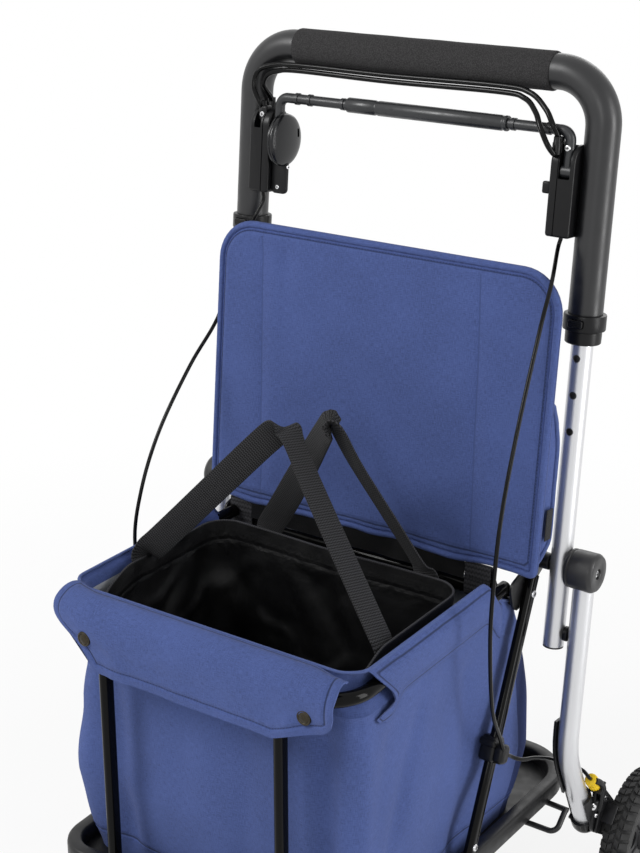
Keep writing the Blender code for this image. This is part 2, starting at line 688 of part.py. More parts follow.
def brake_route(side):
    """A brake cable's route from its housing over the clip to the wheel brake."""
    x = HANDLE_HALF
    start = []
    ahead = 5.0 if side == RIGHT else 0.0
    for s, forward in ((HOUSING_BASE - 1.6, 0.0), (HOUSING_BASE - 12, ahead)):
        start.append((x - 26, -17 * math.cos(LEAN) + s * math.sin(LEAN) - forward,
                      PIVOT_Z + s * math.cos(LEAN) + 17 * math.sin(LEAN)))
    bow = {RIGHT: [(x - 10, -35, 750), (x - 1, -72, 716), (x + 7, -124, 633), (x + 8.5, -153, 551),
                   (x + 8.5, -163.5, 472), (x + 6.5, -160, 415), (x + 1, -140, 338)],
           LEFT: [(x - 20, 2, 753), (x - 2, -10, 700), (x + 7, -31, 645), (x + 7.5, -81, 603),
                  (x + 8, -136, 544), (x + 8, -170, 485), (x + 8, -184, 425), (x + 5, -170, 350)]}
    clip_y = diagonal_y(CLIP_HEIGHT_Z)
    low = [(x - 3, clip_y - 13, CLIP_HEIGHT_Z + 24), (x - 3, clip_y - 3, CLIP_HEIGHT_Z + 4),
           (x - 3, clip_y + 11, CLIP_HEIGHT_Z - 9), (x + 3, -74, 248), (x + 7, -50, 239), (x + 10, -24, 226),
           (x + 10.3, -10, 217), (x + 11.5, 8.5, 208), (x + 20, 15.5, 201), (x + 32, 17.5, 197)]
    first, last = adjuster_line()
    ahead = (last - first).normalized()
    low += [first - ahead * 5 + Vector((-1, 0, 0)), first, first + ahead * 9]
    points = [Vector(p) for p in start + bow[side] + low]
    return [Vector((side * p.x, p.y, p.z)) for p in points]


def adjuster_line():
    """The ends of a cable adjuster's axis, on the right side."""
    first = Vector((LEG_HALF + 16, LEG_END[0] - 19, LEG_END[1] + 64))
    return first, first + Vector((0, 13.2, -15.0))


def brake_cables(root, looks):
    for side, word in SIDES:
        route = smooth(brake_route(side), 2)
        solid(f"brake_cable_{word}", sweep(route, circle(CABLE_R, 6)), looks["cable"], root)


def tray_ring(inset, z):
    """The tray's plan outline, drawn in by an inset, at a height."""
    rear = TRAY_REAR_Y - inset
    front = TRAY_FRONT_Y + inset
    corners = [(TRAY_HALF - inset, rear), (-TRAY_HALF + inset, rear),
               (-TRAY_FRONT_HALF + inset, front), (TRAY_FRONT_HALF - inset, front)]
    radii = [TRAY_CORNER_REAR - inset] * 2 + [TRAY_CORNER_FRONT - inset] * 2
    return [(p.x, p.y, z) for p in rounded(corners, radii)]


def base_tray(root, looks):
    """The black tray that the bag stands in, with its raised round rim."""
    top, low = TRAY_TOP_Z, TRAY_BOTTOM_Z
    steps = [(3, low), (0, low + 3), (0, top - 4), (1.2, top - 1.2), (4, top), (TRAY_RIM - 4, top),
             (TRAY_RIM, top - 4), (TRAY_RIM, TRAY_FLOOR_Z)]
    rings = [tray_ring(inset, z) for inset, z in steps]
    solid("base_tray", rings, looks["black_plastic"], root)
    z = low - ROD_R - GAP
    y = LEG_END[0] - 8
    guard_x = LEG_HALF - SOCKET_R - 3 * GAP
    for side, word in SIDES:
        corners = [(guard_x, y, z), (TRAY_HALF - 50, y + 4, z), (TRAY_HALF - 50, y - 46, z),
                   (LEG_HALF - 7, y - 46, z), (LEG_HALF - 7, 3.0, 152.0)]
        path = [Vector((side * p.x, p.y, p.z)) for p in fillet(corners, 9, 4)]
        solid(f"stay_rod_{word}", sweep(path, circle(ROD_R, 8), (0, 0, 1)), looks["black_steel"], root)


def hub_brackets(root, looks):
    """The castings that join the rear legs to the axles, with the inner guard strips."""
    end = Vector((0, *LEG_END))
    kick = Vector((0, math.sin(LEG_KICK), -math.cos(LEG_KICK)))
    axle = (REAR_AXLE_Y, REAR_AXLE_Z)
    for side, word in SIDES:
        move = Vector((side * LEG_HALF, 0, 0))
        path = [move + end - kick * SOCKET_LENGTH, move + end + kick * 6]
        made = solid(f"hub_bracket_{word}", sweep(path, circle(SOCKET_R, 16)), looks["black_plastic"], root)
        arm = hull([(LEG_END[0] + 4, LEG_END[1] - 4, 11), (*axle, 13)])
        inner, outer = LEG_HALF - 8, WHEEL_X - 2 * GAP
        join(made, solid(f"bracket_arm_{word}", prism(arm, side * inner, side * (PLATE_X + 1)), None, root))
        first, last = adjuster_line()
        upper = last + (last - first).normalized() * 9.5
        outline = hull([(upper.y, upper.z, 7), (LEG_END[0] + 2, LEG_END[1] - 2, 12), (*axle, 14)])
        plate = prism(outline, side * PLATE_X, side * (PLATE_X + PLATE_T))
        join(made, solid(f"brake_plate_{word}", plate, None, root))
        centre = (0, *axle)
        boss = [(13.0, side * inner), (13.0, side * outer)]
        join(made, solid(f"axle_boss_{word}", turned(boss, 20, "X", centre), None, root))
        pin = [(AXLE_R, side * (outer - 2)), (AXLE_R, side * (WHEEL_END_X + 1)), (9.0, side * (WHEEL_END_X + 1)),
               (9.0, side * (WHEEL_END_X + 4)), (6.0, side * (WHEEL_END_X + 5))]
        join(made, solid(f"axle_pin_{word}", turned(pin, 16, "X", centre), None, root))
        ahead = (last - first).normalized()
        stop = last + ahead * (GAP + 1.5)
        lug = box(f"cable_stop_{word}", root, (side * stop.x, stop.y, stop.z), (15, 15, 3))
        lug.rotation_euler = (math.atan2(ahead.y, -ahead.z), 0, 0)
        join(made, lug)
        join(made, guard_strip(side, word, root))
        path = [move + end - kick * (SOCKET_LENGTH + 5), move + end + kick * GAP]
        cut(made, solid(f"leg_bore_{word}", sweep(path, circle(TUBE_R + GAP, 16)), None, root))


def guard_strip(side, word, root):
    """The flat strip that follows the inner side of a rear leg down into the casting."""
    path = [Vector((p.y, p.z)) for p in leg_path(GUARD_TOP_S)]
    ahead = [(path[min(i + 1, len(path) - 1)] - path[max(i - 1, 0)]).normalized() for i in range(len(path))]
    front = [p + Vector((d.y, -d.x)) * 8 for p, d in zip(path, ahead)]
    back = [p - Vector((d.y, -d.x)) * 8 for p, d in zip(path, ahead)]
    outer = LEG_HALF - TUBE_R - GAP
    outline = [tuple(p) for p in front + back[::-1]]
    return solid(f"guard_strip_{word}", prism(outline, side * (outer - GUARD_T), side * outer), None, root)


def brake_levers(root, looks):
    """The levers that press a shoe on each rear tyre, and the yellow cable adjusters."""
    pivot = Vector((0, LEG_END[0] - 1, LEG_END[1] - 7))
    centre = Vector((REAR_AXLE_Y, REAR_AXLE_Z))
    low = PLATE_X + PLATE_T + GAP
    for side, word in SIDES:
        outline = hull([(pivot.y, pivot.z, 6), (pivot.y + 11, pivot.z + 32, 6), (pivot.y + 15, pivot.z + 14, 5)])
        plate = prism(outline, side * low, side * (low + 3))
        lever = solid(f"brake_lever_{word}", plate, looks["black_plastic"], root, origin=pivot)
        arc = []
        for radius, turns in ((REAR_WHEEL_R + SHOE_GAP, range(129, 147, 3)), (REAR_WHEEL_R + 11, range(144, 126, -3))):
            arc += [tuple(centre + Vector((math.cos(math.radians(t)), math.sin(math.radians(t)))) * radius)
                    for t in turns]
        shoe = prism(arc, side * (low + 0.5), side * (WHEEL_END_X - 4))
        join(lever, solid(f"brake_shoe_{word}", shoe, None, root))
        first, last = adjuster_line()
        length = (last - first).length
        bore = CABLE_R + GAP
        profile = [(bore, 0), (5.5, 0), (7.2, 2.5), (7.2, 8.5), (6.2, 9.5), (6.2, 11.5), (7.2, 12.5),
                   (7.2, length), (bore, length)]
        made = solid(f"cable_adjuster_{word}", turned(profile, 14), looks["yellow"], root, True)
        made.location = Vector((side * first.x, first.y, first.z)) * MM
        ahead = (last - first).normalized()
        made.rotation_euler = (math.atan2(-ahead.y, ahead.z), 0, 0)


def rear_wheels(root, looks):
    """The treadless rear tyres on their pierced rims; the tread is finished elsewhere."""
    half = REAR_TYRE_WIDTH / 2
    r = REAR_WHEEL_R
    rim = r - REAR_TYRE_DEPTH
    flat = 1 / math.cos(math.pi / 28)
    tyre = [(rim, -half + 3), (rim + 4, -half + 0.5), (r - 8, -half), (r - 2.5, -half + 4), (r, -half + 10),
            (r, half - 10), (r - 2.5, half - 4), (r - 8, half), (rim + 4, half - 0.5), (rim, half - 3)]
    tyre = [(radius * flat, x) for radius, x in tyre]
    edge = rim - GAP
    bore = AXLE_R + GAP
    disc = [(bore, -half + 0.6), (15, -half + 0.6), (17, -5), (edge - 8, -5), (edge - 7, -half + 4),
            (edge, -half + 4), (edge, half - 4), (edge - 7, half - 4), (edge - 8, 5), (17, 5),
            (15, half - 0.6), (bore, half - 0.6)]
    for side, word in SIDES:
        centre = (side * (WHEEL_X + half), REAR_AXLE_Y, REAR_AXLE_Z)
        solid(f"rear_tyre_{word}", turned(tyre, 28, "X", centre), looks["tyre"], root, True, centre)
        wheel = solid(f"rear_rim_{word}", turned(disc, 20, "X", centre), looks["rim"], root, True, centre)
        for i in range(5):
            turn = math.tau * i / 5
            place = (centre[0], centre[1] + 33 * math.sin(turn), centre[2] + 33 * math.cos(turn))
            hole = turned([(11.5, -12), (11.5, 12)], 8, "X", place)
            cut(wheel, solid(f"rim_hole_{word}_{i}", hole, None, root))


def casters(root, looks):
    """The front swivel casters: socket, fork and wheel."""
    half = CASTER_WIDTH / 2
    inner = half + 1.5
    outer = inner + FORK_T
    socket_low = TRAY_BOTTOM_Z - GAP - CASTER_HOUSING_HEIGHT
    crown_top = socket_low - GAP
    axle_y = CASTER_Y + CASTER_TRAIL
    flat = 1 / math.cos(math.pi / 24)
    bore = CASTER_AXLE_R + GAP
    r = CASTER_WHEEL_R
    tyre = [(bore, -half + 0.5), (11, -half + 0.5), (13, -half + 4), (r - 16, -half + 4), (r - 14, -half + 0.5),
            (r - 5, -half + 0.5), (r, -half + 7), (r, half - 7), (r - 5, half - 0.5),
            (r - 14, half - 0.5), (r - 16, half - 4), (13, half - 4), (11, half - 0.5), (bore, half - 0.5)]
    tyre = [(radius * flat if radius > 20 else radius, x) for radius, x in tyre]
    stem_bore = CASTER_STEM_R + GAP
    top = TRAY_BOTTOM_Z - GAP
    shell = [(stem_bore, socket_low), (CASTER_HOUSING_R - 2, socket_low), (CASTER_HOUSING_R, socket_low + 2),
             (CASTER_HOUSING_R, top), (stem_bore, top)]
    for side, word in SIDES:
        x = side * CASTER_HALF
        place = (x, CASTER_Y, 0)
        solid(f"caster_socket_{word}", turned(shell, 20, "Z", place), looks["black_plastic"], root, True)
        crown = box(f"caster_fork_{word}", root, (x, CASTER_Y, crown_top - FORK_CROWN / 2),
                    (2 * outer, 24, FORK_CROWN), looks["black_plastic"])
        stem = [(CASTER_STEM_R, crown_top - 2), (CASTER_STEM_R, top - 1)]
        join(crown, solid(f"caster_stem_{word}", turned(stem, 14, "Z", place), None, root))
        cheek = hull([(CASTER_Y, crown_top - 10, 10), (axle_y, CASTER_AXLE_Z, 9)])
        for turn, hand in ((-1, "a"), (1, "b")):
            rings = prism(cheek, x + turn * inner, x + turn * outer)
            join(crown, solid(f"fork_cheek_{word}_{hand}", rings, None, root))
        axle = [(CASTER_AXLE_R, x - outer - 2), (CASTER_AXLE_R, x + outer + 2)]
        centre = (0, axle_y, CASTER_AXLE_Z)
        join(crown, solid(f"caster_axle_{word}", turned(axle, 12, "X", centre), None, root))
        centre = (x, axle_y, CASTER_AXLE_Z)
        solid(f"caster_wheel_{word}", turned(tyre, 24, "X", centre), looks["tyre"], root, True, centre)


def bag_rim(y):
    """The height of the bag's top edge, which drops behind the rail towards the crossbar."""
    low = CROSS_Z - CROSS_R
    return BAG_TOP_Z - (BAG_TOP_Z - low) * smoothstep((y + 108) / 46)


def bag_rear(z):
    """Where the bag's rear panel is at a height: it hangs from the crossbar and swells back."""
    top = CROSS_Y - CROSS_R - LOOP_T - 3 * GAP
    low = CROSS_Z - 12
    return top + (BAG_REAR_Y - top) * smoothstep((low - z) / 130) ** 0.75


def hem_share(x, y):
    """One where the side hem wraps the rail, falling to nothing at its two ends."""
    on_side = 1.0 if abs(x) > BAG_HALF - 3 else 0.0
    return on_side * smoothstep((y + 322) / 14) * smoothstep((-66 - y) / 14)


def bag_columns():
    """Plan points of the bag's wall as (x, part of the depth from front to rear)."""
    depth = BAG_REAR_Y - BAG_FRONT_Y
    corners = [(BAG_HALF, 0), (BAG_HALF, depth), (-BAG_HALF, depth), (-BAG_HALF, 0)]
    points = []
    outline = rounded(corners, [BAG_CORNER] * 4, 4)
    for a, b in zip(outline, outline[1:] + outline[:1]):
        length = (b - a).length
        count = max(1, round(length / 58))
        points += [a.lerp(b, i / count) for i in range(count)]
    return [(p.x, p.y / depth) for p in points]


def outer_bag(root, looks):
    """The blue fabric bag, open at its top, with hems round the side rails."""
    hem_out = RAIL_HALF + RAIL_R + GAP + HEM_T - BAG_HALF
    hem_in = BAG_HALF - (RAIL_HALF - RAIL_R - GAP - HEM_T)
    floor = BAG_BOTTOM_Z
    wall = BAG_WALL
    stations = [(0.0, 0.0, 0.0), (0.0, 0.0, 0.30), (0.0, 0.0, 0.62), (0.0, 0.0, 1.0), (-hem_out, -0.6, 1.4),
                (-hem_out, -0.6, 1.85), (-hem_out + 3.5, 0.2, 2.0), (hem_in - 3.5, wall - 0.2, 2.0),
                (hem_in, wall + 0.6, 1.85), (hem_in, wall + 0.6, 1.4), (wall, wall, 1.0), (wall, wall, 0.62),
                (wall, wall, 0.30), (wall, wall, 0.0)]
    columns = bag_columns()
    rings = []
    for index, (hem, plain, level) in enumerate(stations):
        ring = []
        inside = index >= len(stations) / 2
        for x, part in columns:
            depth = bag_rear(CROSS_Z) - BAG_FRONT_Y
            rim = bag_rim(BAG_FRONT_Y + part * depth)
            seam = rim - HEM_HEIGHT
            low = floor + (wall if inside else 0.0)
            z = low + (seam - low) * level if level <= 1 else seam + (rim - seam) * (level - 1)
            y = BAG_FRONT_Y + part * (bag_rear(z) - BAG_FRONT_Y)
            share = hem_share(x, y) if level > 1 else 0.0
            draw = BAG_DRAW * max(0.0, 1 - level / 0.36)
            inset = plain + (hem - plain) * share + draw
            middle_y = (BAG_FRONT_Y + bag_rear(z)) / 2
            half_y = (bag_rear(z) - BAG_FRONT_Y) / 2
            y = middle_y + (y - middle_y) * (half_y - plain - draw) / half_y
            ring.append((x * (BAG_HALF - inset) / BAG_HALF, y, z))
        rings.append(ring)
    bag = solid("outer_bag", rings, looks["blue"], root)
    tunnel = sweep(rail_path(40), circle(RAIL_R + 2 * GAP, 12), (0, 0, 1))
    cut(bag, solid("rail_tunnel", tunnel, None, root))


def inner_ring(z, inset):
    """The black inner bag's plan outline at a height, narrower at its foot."""
    part = (z - INNER_BOTTOM_Z) / (INNER_TOP_Z - INNER_BOTTOM_Z)
    draw = 10 * (1 - part) + inset
    half, front, rear = INNER_HALF - draw, INNER_FRONT_Y + draw, INNER_REAR_Y - draw
    corners = [(half, rear), (-half, rear), (-half, front), (half, front)]
    return [(p.x, p.y, z) for p in rounded(corners, [INNER_CORNER - inset] * 4, 5)]


def inner_bag(root, looks):
    """The removable black shopping bag with its two webbing handles held up."""
    low, top, wall = INNER_BOTTOM_Z, INNER_TOP_Z, INNER_WALL
    levels = [low, low + (top - low) / 2, top]
    rings = [inner_ring(z, 0) for z in levels]
    rings += [inner_ring(z, wall) for z in (top, levels[1], low + wall)]
    solid("inner_bag", rings, looks["black_fabric"], root)
    out = INNER_HALF + GAP + STRAP_T / 2
    rim = INNER_TOP_Z
    front = [(-out + 1.2, -286, rim - 34), (-out, -284, rim), (-out + 8, -279, rim + 20), (-100, -246, rim + 82),
             (-40, -213, rim + 146), (-5, -200, rim + 166), (18, -204, rim + 152), (70, -218, rim + 86),
             (out - 16, -236, rim + 20), (out, -240, rim), (out - 1.2, -241, rim - 34)]
    back = INNER_REAR_Y + GAP + STRAP_T / 2
    rear = [(-92, back, rim - 30), (-88, back + 0.4, rim), (-72, back - 6, rim + 30), (-30, -140, rim + 104),
            (8, -160, rim + 156), (30, -166, rim + 166), (48, -160, rim + 148), (72, -142, rim + 96),
            (100, back - 6, rim + 26), (108, back + 0.4, rim), (111, back, rim - 30)]
    webbing("strap_front", front, (0, 1, 0), root, looks)
    webbing("strap_rear", rear, (1, 0, 0), root, looks)


def webbing(name, route, wide, root, looks):
    """A flat strap along a route, its width turned to lie across it."""
    path = smooth(route, 3)
    section = [(-STRAP_WIDTH / 2, -STRAP_T / 2), (STRAP_WIDTH / 2, -STRAP_T / 2),
               (STRAP_WIDTH / 2, STRAP_T / 2), (-STRAP_WIDTH / 2, STRAP_T / 2)]
    rings = []
    for i, point in enumerate(path):
        ahead = (path[min(i + 1, len(path) - 1)] - path[max(i - 1, 0)]).normalized()
        middle = smoothstep((0.7 - abs(2 * i / (len(path) - 1) - 1)) / 0.6)
        side = Vector(wide).lerp(Vector((0, 1, 0)), middle)
        side = (side - ahead * side.dot(ahead)).normalized()
        over = ahead.cross(side)
        rings.append([point + side * u + over * v for u, v in section])
    solid(name, rings, looks["webbing"], root)


def lid_outline(inset):
    """The lid's outline as (x, t), t counted up the lid from its hinge line."""
    half, low, top = LID_HALF - inset, -LID_TAIL + inset, LID_LENGTH - inset
    corners = [(half, low), (half, top), (-half, top), (-half, low)]
    return rounded(corners, [10, LID_CORNER - inset, LID_CORNER - inset, 10], 7)


def cushion_depth(t):
    """How thick the seat cushion is at a distance up the lid, thickest near the hinge."""
    swell = smoothstep((t + 30) / 100) * (1 - smoothstep((t - 80) / 110))
    return CUSHION_MIN + (CUSHION_MAX - CUSHION_MIN) * swell


def seat_lid(lid, root, looks):
    """The padded seat that is also the bag's lid, and its two webbing hinges."""
    steps = [(2.5, 0.0), (0.0, 2.5), (0.0, PANEL_T - 2.5), (2.5, PANEL_T)]
    rings = [[(p.x, n, p.y) for p in lid_outline(inset)] for inset, n in steps]
    solid("seat_panel", rings, looks["blue"], lid)
    base = PANEL_T + GAP
    half = LID_HALF - CUSHION_INSET
    low, high = -LID_TAIL + CUSHION_INSET, LID_LENGTH - CUSHION_INSET
    rings = []
    count = 14
    for i in range(count + 1):
        t = low + (high - low) * (1 - math.cos(math.pi * i / count)) / 2
        corner = max(0.0, t - (high - LID_CORNER))
        width = half - LID_CORNER + math.sqrt(max(LID_CORNER ** 2 - corner ** 2, 60.0))
        ends = min(1.0, math.sqrt(max(0.02, math.sin(math.pi * i / count))))
        depth = max(1.0, cushion_depth(t) * ends)
        under = [(-width + 2 * width * j / 6, base, t) for j in range(7)]
        over = []
        for j in range(13):
            across = math.cos(math.pi * j / 12)
            crown = (1 - abs(across) ** 5) ** 0.5
            over.append((width * across, base + 1.0 + depth * crown, t))
        rings.append(under + over)
    solid("seat_cushion", rings, looks["blue"], lid)
    apex = (LID_AXIS_Y + 5, LID_AXIS_Z - LID_TAIL - 3.3)
    for side, word in SIDES:
        x = LOOP_X[side]
        outer = hull([(CROSS_Y, CROSS_Z, CROSS_R + GAP + LOOP_T), (*apex, 1.0 + LOOP_T)])
        inner = hull([(CROSS_Y, CROSS_Z, CROSS_R + GAP), (*apex, 1.0)])
        loop = solid(f"hinge_loop_{word}", prism(outer, x - LOOP_WIDTH / 2, x + LOOP_WIDTH / 2),
                     looks["webbing"], root)
        gap = prism(inner, x - LOOP_WIDTH, x + LOOP_WIDTH)
        cut(loop, solid(f"loop_hole_{word}", gap, None, root))


def front_flap(root, looks):
    """The fabric flap that rolls over the front rail and hangs down before it."""
    y = FLAP_Y
    top = BAG_TOP_Z
    profile = [(BAG_FRONT_Y - 4 * GAP - FLAP_T / 2, top - 5), (BAG_FRONT_Y - 4, top + 2.5), (BAG_FRONT_Y - 14, top + 4.5),
               (y + 12, top + 1), (y + 3, top - 8), (y, top - 22), (y, top - 40)]
    shoulder = smooth([(0, a, b) for a, b in profile], 2)
    spread = (0.0, 0.03, 0.06, 0.1, 0.3, 0.5, 0.7, 0.9, 0.94, 0.97, 1.0)
    columns = [FLAP_LEFT + (FLAP_RIGHT - FLAP_LEFT) * part for part in spread]
    rings = []
    for x in columns:
        edge = min(x - FLAP_LEFT, FLAP_RIGHT - x)
        lift = 26 * (1 - smoothstep(edge / 34))
        low = PIVOT_Z - FLAP_DROP + lift
        last = shoulder[-1].z
        drop = [Vector((0, y, last + (low - last) * i / 2)) for i in (1, 2)]
        line = [Vector((x, p.y, p.z)) for p in shoulder + drop]
        rings.append(thicken(line, FLAP_T))
    solid("front_flap", rings, looks["blue"], root)


def thicken(line, thickness):
    """A closed ring round a line in one X plane, half the thickness to each side."""
    near, far = [], []
    for i, point in enumerate(line):
        ahead = (line[min(i + 1, len(line) - 1)] - line[max(i - 1, 0)]).normalized()
        across = Vector((0, -ahead.z, ahead.y)) * thickness / 2
        near.append(point + across)
        far.append(point - across)
    return near + far[::-1]


def finishes():
    """Every finish by name."""
    return {
        "black_tube": material("black_tube", (0.035, 0.037, 0.042), 0.38),
        "foam": material("foam", (0.028, 0.027, 0.029), 0.95),
        "plastic": material("plastic", (0.03, 0.03, 0.033), 0.5),
        "gloss_plastic": material("gloss_plastic", (0.04, 0.045, 0.055), 0.28),
        "bar": material("bar", (0.09, 0.095, 0.105), 0.35),
        "cable": material("cable", (0.02, 0.02, 0.022), 0.3),
        "silver": material("silver", (0.62, 0.63, 0.66), 0.3, 1.0),
        "black_steel": material("black_steel", (0.02, 0.02, 0.022), 0.35),
        "gloss_black": material("gloss_black", (0.012, 0.011, 0.011), 0.12),
        "black_plastic": material("black_plastic", (0.03, 0.03, 0.032), 0.45),
        "yellow": material("yellow", (0.9, 0.62, 0.01), 0.45),
        "tyre": material("tyre", (0.045, 0.045, 0.047), 0.8),
        "rim": material("rim", (0.12, 0.12, 0.125), 0.45),
        "blue": material("blue", (0.075, 0.12, 0.36), 0.85),
        "black_fabric": material("black_fabric", (0.012, 0.012, 0.014), 0.6),
        "webbing": material("webbing", (0.02, 0.02, 0.022), 0.8),
    }


def main():
    clear_scene()
    looks = finishes()
    root = empty("rollator", (0, Y_SHIFT, 0))
    mast = empty("handle_axis", (0, 0, PIVOT_Z), LEAN, root)
    lid = empty("lid_axis", (0, LID_AXIS_Y, LID_AXIS_Z), LID_LEAN, root)
    handle_parts(mast, looks)
    brake_parts(mast, looks)
    upper_tubes(mast, looks)
    rear_legs(root, looks)
    frame_brackets(root, looks)
    bag_frame(root, looks)
    brake_cables(root, looks)
    base_tray(root, looks)
    hub_brackets(root, looks)
    brake_levers(root, looks)
    rear_wheels(root, looks)
    casters(root, looks)
    outer_bag(root, looks)
    inner_bag(root, looks)
    seat_lid(lid, root, looks)
    front_flap(root, looks)


main()
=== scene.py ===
"""Looks of the shopping rollator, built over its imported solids.

Shapes are made in the solids' own millimetres: X across, Y back from the axis of the side pivots,
Z up from the floor. Pieces on the handle lean with it, and pieces on the lid lean with the lid.
"""
import math

import bmesh
import bpy
from mathutils import Matrix, Vector, noise
from mathutils.bvhtree import BVHTree


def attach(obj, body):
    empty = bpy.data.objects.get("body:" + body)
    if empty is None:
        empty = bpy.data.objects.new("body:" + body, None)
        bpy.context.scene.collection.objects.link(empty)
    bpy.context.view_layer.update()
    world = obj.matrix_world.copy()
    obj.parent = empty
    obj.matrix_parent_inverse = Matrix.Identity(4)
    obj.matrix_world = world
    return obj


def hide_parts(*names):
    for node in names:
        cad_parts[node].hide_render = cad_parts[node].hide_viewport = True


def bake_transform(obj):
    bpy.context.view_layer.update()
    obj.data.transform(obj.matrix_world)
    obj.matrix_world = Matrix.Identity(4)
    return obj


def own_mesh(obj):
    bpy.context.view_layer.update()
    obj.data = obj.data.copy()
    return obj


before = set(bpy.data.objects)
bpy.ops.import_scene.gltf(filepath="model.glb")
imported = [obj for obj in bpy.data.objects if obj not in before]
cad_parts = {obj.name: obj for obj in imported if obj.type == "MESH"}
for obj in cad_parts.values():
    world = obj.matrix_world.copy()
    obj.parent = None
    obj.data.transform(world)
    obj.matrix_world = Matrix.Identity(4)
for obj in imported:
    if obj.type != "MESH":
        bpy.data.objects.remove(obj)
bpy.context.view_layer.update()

MM = 0.001
MERGE = 1e-6
SHARP = math.radians(30.0)
SIDES = ((-1, "left"), (1, "right"))
Y_SHIFT = 92.75
PIVOT_Z = 443.0
LEAN = math.radians(5.1)
LID_AXIS = (-59.0, 459.0)
LID_LEAN = math.radians(5.5)

WORLD = Matrix.Translation((0, Y_SHIFT * MM, 0)) @ Matrix.Scale(MM, 4)
MAST = (Matrix.Translation((0, Y_SHIFT * MM, PIVOT_Z * MM)) @ Matrix.Rotation(-LEAN, 4, "X")
        @ Matrix.Scale(MM, 4))
LID = (Matrix.Translation((0, (Y_SHIFT + LID_AXIS[0]) * MM, LID_AXIS[1] * MM))
       @ Matrix.Rotation(-LID_LEAN, 4, "X") @ Matrix.Scale(MM, 4))

# Handle and mast
HANDLE_HALF = 207.0
TOP_S = 498.0
HANDLE_R = 17.5
GRIP_R = 19.4
TUBE_R = 11.1
COLLAR_S = {1: 259.0, -1: 304.0}
BRAKE_Y = -20.0
BRAKE_S = 406.0
HOUSING_IN = 39.0
HOUSING_FRONT = -29.0
HOUSING_BACK = 9.0
HOUSING_BASE = 342.0
HOUSING_TOP = 432.0
HOUSING_BORE_R = 15.9
SQUEEZE = math.radians(22)
ARM_LEFT = -161.0
ARM_RIGHT = 183.5
CABLE_R = 2.1
LINK_R = 2.8

# Frame and wheels
LEG_HALF = 235.0
LEG_START = 7.6
LEG_END = (35.0, 127.0)
LEG_KICK = math.radians(26.2)
AXLE_Y = 108.0
WHEEL_R = 78.0
PLATE_X = 247.0
WHEEL_X = 256.0
TYRE_WIDTH = 32.0
CROSS_Y = -48.0
CROSS_Z = 416.0
CROSS_R = 8.0
CROSS_HALF = 181.3
RAIL_Z = 431.5
RAIL_R = 7.2
RAIL_HALF = 174.1
RAIL_FRONT = -358.0
DIAGONAL_X = 189.9
DIAGONAL_TOP = (-30.0, 432.0)
DIAGONAL_FOOT = (-146.0, 159.3)
CLIP_Z = 267.0
TRAY_TOP = 159.0
TRAY_LOW = 137.0
TRAY_HALF = 199.9
TRAY_FRONT_HALF = 188.0
TRAY_REAR = 98.0
TRAY_FRONT = -366.0
CASTER_HALF = 152.0
CASTER_Y = -306.0
CASTER_TRAIL = 30.0
CASTER_R = 55.0
CASTER_WIDTH = 26.0

# Soft goods
SEAM_ZERO = 100.0
NO_SEAM = 30.0
OUTSIDE_RINGS = 49
# Rings from the foot, and the share of the depth, past which the bag's rear wall takes a darker blue:
# painted shade.
PAINTED_SHADE_RINGS = 31
PAINTED_SHADE_PART = 0.89
BLUE_INSIDE_ROWS = 5
BAG_HALF = 176.6
BAG_FRONT = -334.0
BAG_REAR = 14.0
BAG_TOP = 451.0
BAG_LOW = 141.3
BAG_STEP = 6.5
HEM = 45.0
INNER_HALF = 156.0
INNER_FRONT = -318.0
INNER_REAR = -110.0
INNER_TOP = 447.0
INNER_LOW = 143.4
LID_HALF = 208.0
LID_LENGTH = 304.0
LID_TAIL = 11.0
LID_CORNER = 45.0
PANEL_T = 8.0
FLAP_Y = -370.5
FLAP_LEFT = -175.0
FLAP_RIGHT = 172.0
FLAP_LOW = 386.5
FLAP_BORDER = 9.5
FLAP_WRAP_X = -125.0
FLAP_WRAP_R = 57.0
FLAP_END_S = -135.0
FLAP_END_R = 200.0
LOOP_X = {-1: -166.0, 1: 140.0}
CUSHION_EDGE = 3.0
CUSHION_SWELL = 24.0
CUSHION_SPREAD = 3.4

# Camera
CAMERA_PLACE = (0.8851, -1.3310, 1.1841)
CAMERA_TURN = (69.31, 0.02, 34.58)
CAMERA_LENS = 69.88


def smoothstep(value):
    """An eased step from 0 to 1."""
    value = min(max(value, 0.0), 1.0)
    return value * value * (3 - 2 * value)


def bell(value):
    """A soft bump that is 1 at zero and fades by about 2."""
    return math.exp(-value * value)


def ripple(point, size):
    """Smooth noise between about -1 and 1, with features of a size in millimetres."""
    return 2 * noise.noise(Vector(point) / size)


def circle(radius, count):
    """Points evenly round a circle."""
    return [(radius * math.cos(math.tau * i / count), radius * math.sin(math.tau * i / count))
            for i in range(count)]


def stadium(width, depth, steps=8):
    """A flat-oval section, width along the first direction, longer in the second."""
    radius = width / 2
    half = depth / 2 - radius
    points = []
    for centre, start in ((half, 0.0), (-half, math.pi)):
        for i in range(steps + 1):
            turn = start + math.pi * i / steps
            points.append((radius * math.cos(turn), centre + radius * math.sin(turn)))
    return points


def fillet(corners, radius, steps=12):
    """A path through straight runs whose inner corners are rounded."""
    points = [Vector(corners[0])]
    for before, corner, after in zip(corners, corners[1:], corners[2:]):
        corner = Vector(corner)
        back = (Vector(before) - corner).normalized()
        ahead = (Vector(after) - corner).normalized()
        half = back.angle(ahead) / 2
        centre = corner + (back + ahead).normalized() * radius / math.sin(half)
        first = corner + back * radius / math.tan(half) - centre
        last = corner + ahead * radius / math.tan(half) - centre
        turn = first.rotation_difference(last)
        for i in range(steps + 1):
            part = Matrix.Rotation(turn.angle * i / steps, 3, turn.axis)
            points.append(centre + part @ first)
    points.append(Vector(corners[-1]))
    return points


